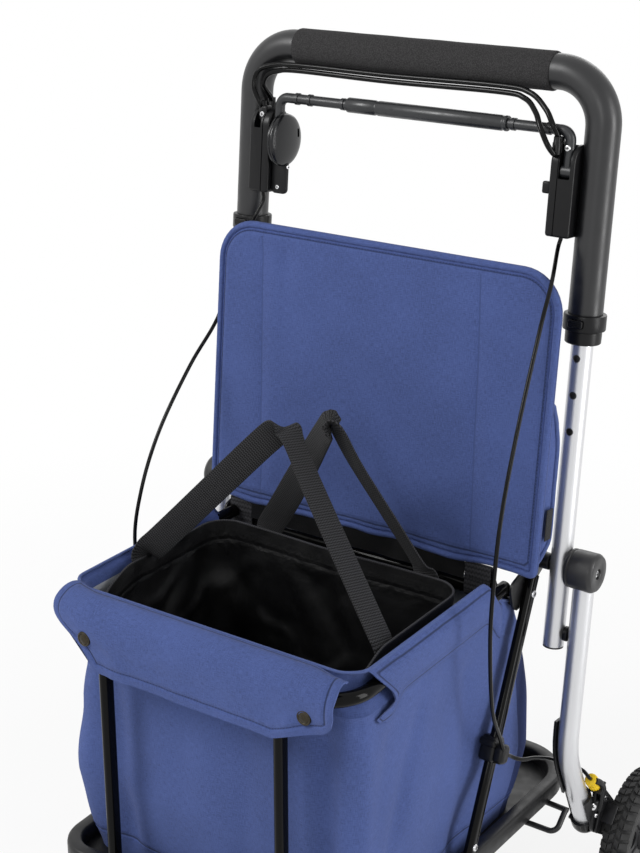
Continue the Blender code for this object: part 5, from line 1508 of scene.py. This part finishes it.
FLAP_EDGE = ((380, -109.0), (388, -110.0), (400, -119.0), (408, -127.0), (414, -136.0), (420, -153.0),
             (426, -167.0), (432, -173.0), (442, -175.0), (500, -175.0))


def flap_left(z):
    """Where the flap's left edge is at a height: below the rail it is drawn in to the snap."""
    return rounded_read(FLAP_EDGE, z, 3)


def flap_place(s, z):
    """The flap's own measure across, drawn in at its left end."""
    if s >= -50:
        return s
    return -50 - (-50 - s) * (-50 - flap_left(z)) / (-50 - FLAP_LEFT)


def flap_point(s, depth, z):
    """A point of the flap: s along its width, depth back from its front face."""
    s = flap_place(s, z)
    if s >= FLAP_WRAP_X:
        return Vector((s, FLAP_Y + depth, z))
    first = (FLAP_WRAP_X - max(s, FLAP_END_S)) / FLAP_WRAP_R
    x = FLAP_WRAP_X - FLAP_WRAP_R * math.sin(first)
    y = FLAP_Y + FLAP_WRAP_R * (1 - math.cos(first))
    a = first + max(0.0, FLAP_END_S - s) / FLAP_END_R
    x -= FLAP_END_R * (math.sin(a) - math.sin(first))
    y += FLAP_END_R * (math.cos(first) - math.cos(a))
    return Vector((x + depth * math.sin(a), y + depth * math.cos(a), z))


def flap_profile():
    """The flap's run over the rail as (depth, z), from the bag's edge to where it hangs."""
    back = BAG_FRONT - FLAP_Y
    route = [(0, back - 2.2, 441), (0, back - 2.0, BAG_TOP - 1), (0, back - 5, BAG_TOP + 3.2),
             (0, back - 14, BAG_TOP + 4.6), (0, 12.5, BAG_TOP + 0.6), (0, 3.6, BAG_TOP - 9),
             (0, 0.3, BAG_TOP - 24), (0, 0.2, BAG_TOP - 40)]
    return [(p.y, p.z) for p in evenly(smooth(route, 6), 3.0)]


def flap_low(s):
    """How low the flap hangs: it is picked up towards the right snap, and its lower corners are rounded."""
    rise = 0.36 * max(0.0, s - 104) - 0.10 * bell((s - 104) / 14) * 14
    right = 15 * (1 - math.sqrt(max(0.0, 1 - (1 - min((FLAP_RIGHT - s) / 16, 1)) ** 2)))
    left = 6 * (1 - math.sqrt(max(0.0, 1 - (1 - min((s - FLAP_LEFT) / 14, 1)) ** 2)))
    return FLAP_LOW + rise + right + left


ROLL_SEAM = 17.5


def front_flap():
    """The cloth flap over the front rail, with its sewn border and two snaps."""
    profile = flap_profile()
    count = 150
    rings, marks = [], []
    for i in range(count + 1):
        s = FLAP_LEFT + (FLAP_RIGHT - FLAP_LEFT) * i / count
        line = flap_line(s, profile)
        rings.append(thick_ring(line, 0.9, s))
        row = [min(flap_edge(s, d, z) - FLAP_BORDER, 3.0 * k - ROLL_SEAM) for k, (d, z) in enumerate(line)]
        marks.append(row + row[::-1])
    shape = Shape().loft(rings, marks=marks)
    made = stand_in("front_flap", "sewn", shape, "blue", "frame", 60)
    flap_details(profile)


def flap_edge(s, depth, z):
    """How far a place of the flap is from its free edges, along the cloth."""
    side = min(flap_place(s, z) - flap_left(z), FLAP_RIGHT - s)
    if depth > 6:
        return side
    return min(side, z - flap_low(s))


def flap_line(s, profile):
    """(depth, z) down the flap at one place across it, with soft unevenness and a pressed border."""
    low = flap_low(s)
    depth, last = profile[-1]
    top = BAG_TOP - 9
    end = max(last, low + 4)
    points = [(d, top - (top - z) * (top - end) / (top - last) if z < top and d < 6 else z) for d,
              z in profile]
    last = end
    steps = 20
    for i in range(1, steps + 1):
        points.append((depth, last + (low - last) * i / steps))
    made = []
    short = 1 - 0.32 * smoothstep((s - 128) / 40)
    for d, z in points:
        if d > 6:
            z += (453.2 - z) * (1 - short) / 0.32 * smoothstep((d - 27) / 6)
            d = 6 + (d - 6) * short
        groove = 0.9 * bell((flap_edge(s, d, z) - FLAP_BORDER) / 1.6)
        free = smoothstep((BAG_TOP + 2 - z) / 30)
        wave = free * (1.8 * ripple((s, z * 0.5, 90.0), 70) + 0.6 * ripple((s, z, 33.0), 24))
        tuck = (3.4 * bell((s - 139) / 20) * bell((z - 417) / 15)
                + 3.0 * bell((s + 162) / 22) * bell((z - 414) / 14))
        gather = 1.6 * bell((s - 118 - 0.6 * (z - 400)) / 8) * bell((z - 410) / 20)
        lift = 5.0 * smoothstep((s - 120) / 50) * smoothstep((430 - z) / 40)
        made.append((d + groove + tuck - gather - wave * 0.8 + lift, z))
    return made


def front_depth(s, z, profile):
    """How deep the flap's hanging front lies at a place."""
    line = flap_line(s, profile)
    return min(line, key=lambda p: abs(p[1] - z) + (50 if p[0] > 8 else 0))[0]


def thick_ring(line, half, s):
    """The flap's section at one place across it, half a thickness to each side of its line."""
    near, far = [], []
    for i, (d, z) in enumerate(line):
        a = line[max(i - 1, 0)]
        b = line[min(i + 1, len(line) - 1)]
        along = Vector((b[0] - a[0], b[1] - a[1])).normalized()
        off = Vector((-along.y, along.x)) * half
        near.append(flap_point(s, d + off.x, z + off.y))
        far.append(flap_point(s, d - off.x, z - off.y))
    return near + far[::-1]


def flap_details(profile):
    """Border stitches and the two snaps."""
    rows = Shape()
    path = []
    for i in range(101):
        s = FLAP_LEFT + 14 + (FLAP_RIGHT - FLAP_LEFT - 26) * i / 100
        z = flap_low(s) + FLAP_BORDER
        path.append(flap_point(s, front_depth(s, z, profile) - 0.9, z))
    stitches(rows, path)
    piece("flap_stitches", rows, "thread", "frame")
    snaps = Shape()
    for s, z in ((139.2, 417.6), (-138.0, 419.4)):
        dome = [(7.4, 1.4), (7.9, 0.2), (7.6, -0.8), (6.8, -1.3), (6.0, -1.0), (5.6, -0.6), (4.6, -1.2),
                (2.6, -1.9), (0.4, -2.1)]
        snaps.turn(dome, 36, "Y", flap_point(s, front_depth(s, z, profile) - 1.6, z))
    piece("flap_snaps", snaps, "brass", "frame")


def inner_outline(inset, part):
    """The inner bag's plan outline at a part of its height: narrower at the foot."""
    draw = 10 * (1 - part) + inset
    half, front, rear = INNER_HALF - draw, INNER_FRONT + draw, INNER_REAR - draw
    corners = [(half, rear), (-half, rear), (-half, front), (half, front)]
    return rounded(corners, [max(30.0 - inset, 6.0)] * 4, 9)


def inner_top(p):
    """The height of the inner bag's rim, which sags behind the front."""
    return (INNER_TOP - 16 * smoothstep((-256 - p.y) / 52)
            - 2.0 * bell((p.x + 10) / 60) * smoothstep((p.y + 150) / 30))


def inner_bag():
    """The coated black bag: creased walls, a seamed band under the piped rim, and the bag's floor."""
    parts = parts_of(inner_outline(0, 1), 5.0)
    rings, marks = [], []
    low = INNER_LOW
    walls = [(i / 56, 0.0) for i in range(57)] + [(1 - i / 56, 1.4) for i in range(57)]
    for part, inset in walls:
        ring = []
        row = []
        for p in divided(inner_outline(inset, part), parts):
            top = inner_top(p)
            z = low + 1.4 * (inset > 0) + (top - low - 1.4 * (inset > 0)) * part
            out = Vector((p.x, p.y + 214)).normalized()
            soft = inner_crease(p, z, top)
            ring.append((p.x + out.x * soft, p.y + out.y * soft, z))
            row.append(min(top - 21 - z, NO_SEAM) if inset else NO_SEAM)
        rings.append(ring)
        marks.append(row)
    shape = Shape().loft(rings, marks=marks)
    stand_in("inner_bag", "sewn", shape, "coated", "shopping_bag", 60)
    path = [Vector((p.x, p.y, inner_top(p) + 0.3)) for p in divided(inner_outline(0.7, 1), parts)]
    rings = piped(path, circle(1.25, 10))
    piece("inner_bag_piping", Shape().loft(rings, loop=True), "loop", "shopping_bag", (), 60)


def inner_crease(p, z, top):
    """Wrinkles of the coated cloth, all inwards: puckers in the band, and slanting pulls below it."""
    below = top - z
    hold = smoothstep((below - 14) / 26) * smoothstep((z - INNER_LOW) / 30)
    band = smoothstep(below / 8) * smoothstep((30 - below) / 8)
    across = p.x - p.y
    pull = across + 0.9 * z
    big = 5.5 * max(0.0, ripple((pull * 0.8, p.y * 0.3 + z * 0.2, z * 0.30), 52)) ** 0.8
    ridge = ripple((across * 0.9, p.y * 0.5 + 31, z * 0.9 - across * 0.4), 66)
    ridge = 3.4 * (1 - min(1.0, 3.2 * abs(ridge)))
    fine = 1.1 * ripple((across, z * 0.6, 8.0), 18)
    calm = 1 - 0.65 * smoothstep((p.x + 10) / 70)
    return (-hold * calm * (big + ridge + abs(fine))
            - band * calm * (0.6 + 0.8 * ripple((across, 3.0, z * 0.2), 16)))


def straps():
    """The two webbing handles, pulled taut up to where they are held."""
    rise = INNER_TOP
    face = (0.706, 0.171, -0.686)
    side = (0.0, 1.0, 0.0)
    front = [((-155.6, -238, rise - 32), side), ((-157.2, -238, rise - 5), side),
             ((-155.6, -237.6, rise + 5), (0.3, 0.9, -0.3)), ((-143, -235, rise + 16), face),
             ((-112, -229, rise + 49), face), ((-60, -217, rise + 106), face),
             ((-22, -205, rise + 148), face), ((-7, -200.5, rise + 162), (0.6, 0.55, -0.5)),
             ((2, -200, rise + 164.5), (0.3, 0.9, 0.1)), ((13, -204, rise + 155), side),
             ((45, -216, rise + 116), side), ((100, -237, rise + 56), side), ((140, -252, rise + 12), side),
             ((149.6, -255.4, rise + 1), side), ((152.4, -256, rise - 8), side),
             ((150.6, -256, rise - 32), side)]
    back = INNER_REAR + 1.4
    flat = (1.0, 0.0, 0.0)
    edge = (0.85, -0.47, 0.235)
    rear = [((-92, back, rise - 30), flat), ((-90, back + 0.4, rise - 4), flat),
            ((-86, back - 1, rise + 6), flat), ((-62, -121, rise + 38), (0.97, 0.1, -0.2)),
            ((-20, -141.6, rise + 97), (0.9, -0.1, -0.4)), ((18, -160.4, rise + 151), (0.8, -0.4, -0.4)),
            ((28, -165, rise + 164), (0.85, -0.5, -0.1)), ((36, -164.6, rise + 162), edge),
            ((50, -151, rise + 123), edge), ((80, -128.8, rise + 59.5), edge),
            ((101, -113, rise + 15), edge), ((107.4, back - 0.6, rise + 3), flat),
            ((109, back + 0.4, rise - 5), flat), ((111, back, rise - 30), flat)]
    strap("strap_front", front)
    strap("strap_rear", rear)


def strap(name, route):
    """One flat strap along its route of (place, way across) pairs, with a stitched box at each end."""
    path = smooth([place for place, _ in route], 10)
    ways = smooth([way for _, way in route], 10)
    section = [(-15, -0.8), (-14.4, -1.1), (-5, -1.2), (5, -1.2), (14.4, -1.1), (15, -0.8), (15, 0.8),
               (14.4, 1.1), (5, 1.2), (-5, 1.2), (-14.4, 1.1), (-15, 0.8)]
    rings, frames = [], []
    for i, point in enumerate(path):
        ahead = heading(path, i)
        side = (ways[i] - ahead * ways[i].dot(ahead)).normalized()
        over = ahead.cross(side)
        frames.append((point, side, over))
        rings.append([point + side * u + over * v for u, v in section])
    made = piece(f"{name}_woven", Shape().loft(rings), "webbing", "shopping_bag", [name])
    rows = Shape()
    for stretch in (frames[:11], frames[-11:]):
        for way in (-1.25, 1.25):
            for across in (-11.5, 11.5):
                stitches(rows, [p + side * across + over * way for p, side, over in stretch], 3.2, 2.2, 0.3)
    sewn = piece(f"{name}_stitches", rows, "loop", "shopping_bag")
    for part in (made, sewn):
        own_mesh(part)


def hinge_loops():
    """The webbing loops that hinge the lid on the crossbar."""
    apex = (LID_AXIS[0] + 5, LID_AXIS[1] - LID_TAIL - 3.3)
    for side, word in SIDES:
        x = LOOP_X[side]
        outer = hull([(CROSS_Y, CROSS_Z, CROSS_R + 1.8), (*apex, 2.6)], 48)
        inner = hull([(CROSS_Y, CROSS_Z, CROSS_R + 0.2), (*apex, 1.0)], 48)
        outer = evenly([Vector(p) for p in outer], 2.0, True)
        rings = []
        nearest = [min((Vector(q) for q in inner), key=lambda q, p=p: (q - p).length) for p in outer]
        for p, q in zip(outer, nearest):
            rings.append([(x - 15, *p), (x + 15, *p), (x + 15, *q), (x - 15, *q)])
        shape = Shape().loft(rings, loop=True)
        made = stand_in(f"hinge_loop_{word}", "woven", shape, "loop", None)
        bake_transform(made)


def lid_outline(inset):
    """The lid's outline in its own plane, moved inwards."""
    half, low, top = LID_HALF - inset, -LID_TAIL + inset, LID_LENGTH - inset
    corners = [(half, low), (half, top), (-half, top), (-half, low)]
    radii = [max(10 - inset, 1.0), max(LID_CORNER - inset, 2.0), max(LID_CORNER - inset, 2.0),
             max(10 - inset, 1.0)]
    return rounded(corners, radii, 10)


def seat_panel():
    """The lid's cloth-covered board: a rolled border, a sewn groove and pressed folds."""
    parts = parts_of(lid_outline(0), 6.0)
    steps = [(30, PANEL_T), (3, PANEL_T), (0.6, PANEL_T - 1.2), (0, 5.0), (0.1, 3.0), (0.9, 1.0),
             (2.2, -0.2), (3.8, -0.6), (5.4, -0.2), (6.5, 0.9), (7.2, 2.2), (7.9, 1.5), (8.8, 0.7),
             (10.5, 0.2)]
    steps += [(10.5 + 4.4 * i, 0.0) for i in range(1, 33)]
    rings, marks = [], []
    for inset, n in steps:
        ring = []
        for p in divided(lid_outline(inset), parts):
            relief = panel_relief(p.x, p.y, inset) if n < 4 else 0.0
            wave = 1.8 * ripple((p.x, 0, 71.0), 44) * smoothstep((8 - p.y) / 16)
            ring.append((p.x, n + relief + 0.5 * wave, p.y + wave))
        rings.append(ring)
        foot = [3.5 * smoothstep(1 - (p.y + LID_TAIL - inset) / 8) for p in divided(lid_outline(inset),
                                                                                    parts)]
        marks.append([(inset - 9.8 - low) if n < 4 else NO_SEAM for low in foot])
    shape = Shape(LID).loft(rings, marks=marks)
    box_cloth(shape)
    made = stand_in("seat_panel", "covered", shape, "blue", "seat", 60)
    # A measure from the panel's two pressed folds, along which the blue is drawn darker: painted shade in
    # the folds.
    field = made.data.attributes.new("crease", "FLOAT", "POINT")
    back = LID.inverted()
    for vertex in made.data.vertices:
        p = back @ vertex.co
        left, right = creases(p.z)
        away = min(p.x - left, right - p.x)
        edge = min(LID_HALF - abs(p.x), LID_LENGTH - p.z, p.z + LID_TAIL)
        value = away if edge > 11 else math.copysign(NO_SEAM, away)
        field.data[vertex.index].value = SEAM_ZERO + (NO_SEAM if p.y > 4 else value)
    rows = Shape(LID)
    path = [Vector((p.x, 0.35, p.y)) for p in divided(lid_outline(9.4), parts)]
    stitches(rows, path, closed=True)
    piece("panel_stitches", rows, "thread", "seat")


def black_gap_strip():
    """A black strip under the lid's rear edge that fills the gap down to the crossbar with black; what is
    dark there on the object is not known.
    """
    rings = []
    for i in range(61):
        x = -150.8 + 275.6 * i / 60
        wave = 0.8 * ripple((x, 0, 4.0), 30)
        line = [(3.4, -8.0), (4.0 + wave * 0.4, -16.0), (4.4 + wave, -24.0), (4.2 + wave * 1.4, -31.0)]
        rings.append([(x, n - 0.6, t) for n, t in line] + [(x, n + 0.6, t) for n, t in line[::-1]])
    piece("lid_black_gap_strip", Shape(LID).loft(rings), "coated", "seat", (), 60)


def kept_axes(normal):
    """The two axes on which a face is laid out by the way it looks."""
    axis = max(range(3), key=lambda i: abs(normal[i]))
    return [i for i in range(3) if i != axis]


def box_cloth(shape):
    """Lays the weave flat over a mostly flat piece instead of round its rings."""
    for index, (indices, corners) in enumerate(zip(shape.faces, shape.corners)):
        points = [shape.points[i] for i in indices]
        keep = kept_axes((points[1] - points[0]).cross(points[2] - points[0]))
        shape.corners[index] = tuple((p[keep[0]], p[keep[1]]) for p in points)


def creases(t):
    """Where the panel's two pressed folds are at a distance up the lid."""
    return -137.5 - 0.045 * t, 131.5 - 0.047 * t


def panel_relief(x, t, inset):
    """The panel's pressed folds, the pull of its seam and soft unevenness."""
    inner = smoothstep((inset - 8) / 30)
    fold = 0.0
    for at in creases(t):
        fold += 1.5 * bell((x - at) / 7) - 0.9 * bell((x - at - 15) / 9)
    fold += (1.8 * bell((x + 118) / 9) * bell((t - 276) / 22)
             - 1.4 * bell((x + 96) / 12) * bell((t - 262) / 26))
    pull = bell((inset - 9) / 6) * 0.3 * math.sin((x + t) * 0.5)
    soft = 1.1 * ripple((x, t, 5.0), 90) + 0.35 * ripple((x, t, 15.0), 30)
    return inner * (fold + soft) + pull


def cushion_depth(t):
    """How thick the seat cushion is at a distance up the lid, thickest just above the hinge."""
    slim = CUSHION_EDGE + 18.0 * smoothstep((t + 30) / 100)
    full = CUSHION_EDGE + CUSHION_SWELL * smoothstep((t + 4) / 26)
    return CUSHION_EDGE + (max(slim, full) - CUSHION_EDGE) * (1 - smoothstep((t - 120) / 66))


def cushion_wide(t):
    """How much wider than the lid's outline the cushion is, by its thickness."""
    return 1 + CUSHION_SPREAD * (cushion_depth(t) - CUSHION_EDGE) / CUSHION_SWELL / LID_HALF


def cushion_base(t):
    """Where the cushion starts behind the panel: its slim upper part lies inside the panel's cover."""
    return PANEL_T + 0.4 - 5.6 * smoothstep((t - 150) / 40)


def cushion_give(place):
    """How far a place of the cushion may puff out, in metres."""
    return 0.004 * (1 - smoothstep(((LID.inverted() @ place).z - 130) / 40))


def seat_cushion():
    """The stuffed cushion behind the panel, puffed by a short cloth simulation, and its piping."""
    parts = parts_of(lid_outline(3), 9.0)
    rings = []
    for inset, rise in ((34, 0.0), (8, 0.0), (4.4, 0.15), (3.6, 0.35), (3.4, 0.6), (4.0, 0.8), (6, 0.93),
                        (12, 1.0), (24, 1.0), (40, 1.0), (60, 1.0), (85, 1.0), (110, 1.0), (135, 1.0)):
        ring = []
        for p in divided(lid_outline(inset), parts):
            ring.append((p.x * cushion_wide(p.y), cushion_base(p.y) + cushion_depth(p.y) * rise, p.y))
        rings.append(ring)
    shape = Shape(LID).loft(rings)
    mesh = made_mesh("seat_cushion_stuffed", shape)
    made = placed("seat_cushion_stuffed", mesh, "blue", None)
    puff(made, 0.005, 4.0, cushion_give)
    box_cloth_mesh(made)
    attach(made, "seat")
    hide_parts("seat_cushion")
    cushion_trim(made)


def puff(made, voxel, pressure, most):
    """Stuffs a closed cloth piece: an even mesh, a short inflation, and a limit on how far it moves."""
    mod = made.modifiers.new("even", "REMESH")
    mod.mode = "VOXEL"
    mod.voxel_size = voxel
    bake(made)
    rest = [v.co.copy() for v in made.data.vertices]
    cloth = made.modifiers.new("cloth", "CLOTH")
    cloth.settings.use_pressure = True
    cloth.settings.uniform_pressure_force = pressure
    cloth.settings.effector_weights.gravity = 0.0
    for number in range(1, 21):
        bpy.context.scene.frame_set(number)
    bake(made)
    bpy.context.scene.frame_set(1)
    for vertex, start in zip(made.data.vertices, rest):
        move = vertex.co - start
        if move.length > most(start):
            vertex.co = start + move * (most(start) / move.length)
    mod = made.modifiers.new("soft", "SUBSURF")
    mod.levels = mod.render_levels = 1
    bake(made)
    made.data.shade_smooth()


def box_cloth_mesh(made):
    """Gives a remeshed piece its weave again, in millimetres, by the way each face looks."""
    back = LID.inverted()
    mesh = made.data
    layer = mesh.uv_layers.get("UVMap") or mesh.uv_layers.new(name="UVMap")
    turn = back.to_3x3()
    for polygon in mesh.polygons:
        keep = kept_axes(turn @ polygon.normal)
        for loop in polygon.loop_indices:
            p = back @ mesh.vertices[mesh.loops[loop].vertex_index].co
            layer.data[loop].uv = (p[keep[0]], p[keep[1]])


def cushion_trim(cushion):
    """The piping round the cushion's outer edge, laid on the puffed cloth, and the blank sewn label."""
    tree = BVHTree.FromObject(cushion, bpy.context.evaluated_depsgraph_get())
    back = LID.inverted()
    path = []
    for p in evenly([Vector((q.x, 0, q.y)) for q in lid_outline(3.4)], 6.0, True):
        goal = LID @ Vector((p.x * cushion_wide(p.z), cushion_base(p.z) + cushion_depth(p.z) * 0.86, p.z))
        found, normal, _, _ = tree.find_nearest(goal)
        spot = back @ (found + normal * 0.0010)
        path.append(Vector((spot.x, max(spot.y, 7.2), spot.z)))
    rings = []
    for i, p in enumerate(path):
        ahead = heading(path, i, True)
        side = Vector((0, 1, 0)).cross(ahead).normalized()
        rings.append([p + side * u + side.cross(ahead) * v for u, v in circle(2.7, 12)])
    shape = Shape(LID).loft(rings, loop=True)
    piece("cushion_piping", shape, "trim", "seat", (), 60)
    label = Shape(LID)
    label.block((207.6, 20.0, 44), (1.2, 13, 33), 0.4)
    piece("cushion_label", label, "webbing", "seat")


def studio():
    """The pale floor, the soft lights and the camera."""
    floor = bpy.data.meshes.new("floor")
    floor.from_pydata([(-60, -60, 0), (60, -60, 0), (60, 60, 0), (-60, 60, 0)], [], [(0, 1, 2, 3)])
    ground = bpy.data.objects.new("floor", floor)
    bpy.context.collection.objects.link(ground)
    ground.location.z = -0.0005
    floor.materials.append(floor_look())
    backdrop()
    for name, place, goal, size, power in (("key_light", (-1.2, -1.6, 2.2), (0, 0, 0.5), (0.7, 1.0), 33.0),
                                           ("side_light", (2.1, 0.26, 0.95), (0, 0, 0.85), (0.6, 1.9),
                                            23.0),
                                           ("front_light", (0.9, -2.6, 1.7), (0, 0, 0.5), (0.5, 0.8), 8.0),
                                           ("rim_light", (-0.4, 2.3, 1.8), (0, 0, 0.5), (1.2, 1.2), 9.0)):
        lamp = bpy.data.lights.new(name, "AREA")
        lamp.shape = "RECTANGLE"
        lamp.size, lamp.size_y = size
        lamp.energy = power
        made = bpy.data.objects.new(name, lamp)
        made.visible_camera = False
        made.location = place
        made.rotation_euler = (Vector(goal) - Vector(place)).to_track_quat("-Z", "Y").to_euler()
        bpy.context.collection.objects.link(made)
    camera = bpy.data.objects.new("camera", bpy.data.cameras.new("camera"))
    camera.data.lens = CAMERA_LENS
    camera.location = CAMERA_PLACE
    camera.rotation_euler = [math.radians(turn) for turn in CAMERA_TURN]
    camera.data.clip_end = 200
    bpy.context.collection.objects.link(camera)
    bpy.context.scene.camera = camera
    bpy.context.scene.view_settings.view_transform = "Standard"


def floor_look():
    """A white floor that shows white to the eye, more so away from the object, and keeps its shadow."""
    look = Look("floor_white", (0.88, 0.88, 0.88), 0.9, Specular_IOR_Level=0.0)
    tree = look.tree
    glow = tree.nodes.new("ShaderNodeEmission")
    seen = tree.nodes.new("ShaderNodeLightPath")
    rays = look.math("MAXIMUM", seen.outputs["Is Camera Ray"], seen.outputs["Is Glossy Ray"])
    rays = look.math("MAXIMUM", rays, seen.outputs["Is Transmission Ray"])
    away = look.node("ShaderNodeVectorMath", {0: look.solid()}, "Value", operation="LENGTH")
    share = look.spread(away, 0.55, 1.5, 0.85, 1.0)
    both = tree.nodes.new("ShaderNodeMixShader")
    tree.links.new(look.math("MULTIPLY", rays, share), both.inputs[0])
    tree.links.new(look.shader.outputs[0], both.inputs[1])
    tree.links.new(glow.outputs[0], both.inputs[2])
    tree.links.new(both.outputs[0], tree.nodes["Material Output"].inputs["Surface"])
    return look.material


def backdrop():
    """An even pale world that the eye and glossy metal see as white."""
    world = bpy.data.worlds.new("studio")
    bpy.context.scene.world = world
    world.use_nodes = True
    tree = world.node_tree
    shade = tree.nodes["Background"]
    shade.inputs["Color"].default_value = (1.0, 1.0, 1.0, 1.0)
    seen = tree.nodes.new("ShaderNodeLightPath")
    rays = tree.nodes.new("ShaderNodeMath")
    rays.operation = "MAXIMUM"
    tree.links.new(seen.outputs["Is Camera Ray"], rays.inputs[0])
    tree.links.new(seen.outputs["Is Glossy Ray"], rays.inputs[1])
    level = tree.nodes.new("ShaderNodeMapRange")
    level.inputs["To Min"].default_value = 0.45
    level.inputs["To Max"].default_value = 1.0
    tree.links.new(rays.outputs[0], level.inputs["Value"])
    tree.links.new(level.outputs[0], shade.inputs["Strength"])


def main():
    """Builds the studio and every piece."""
    studio()
    handle_group()
    brake_housings()
    pivot_cover()
    brake_bar()
    link_cables()
    upper_tubes()
    rear_legs()
    bag_frame()
    brake_cables()
    base_tray()
    hub_brackets()
    rear_wheels()
    casters()
    outer_bag()
    front_flap()
    inner_bag()
    straps()
    hinge_loops()
    seat_panel()
    black_gap_strip()
    seat_cushion()


main()
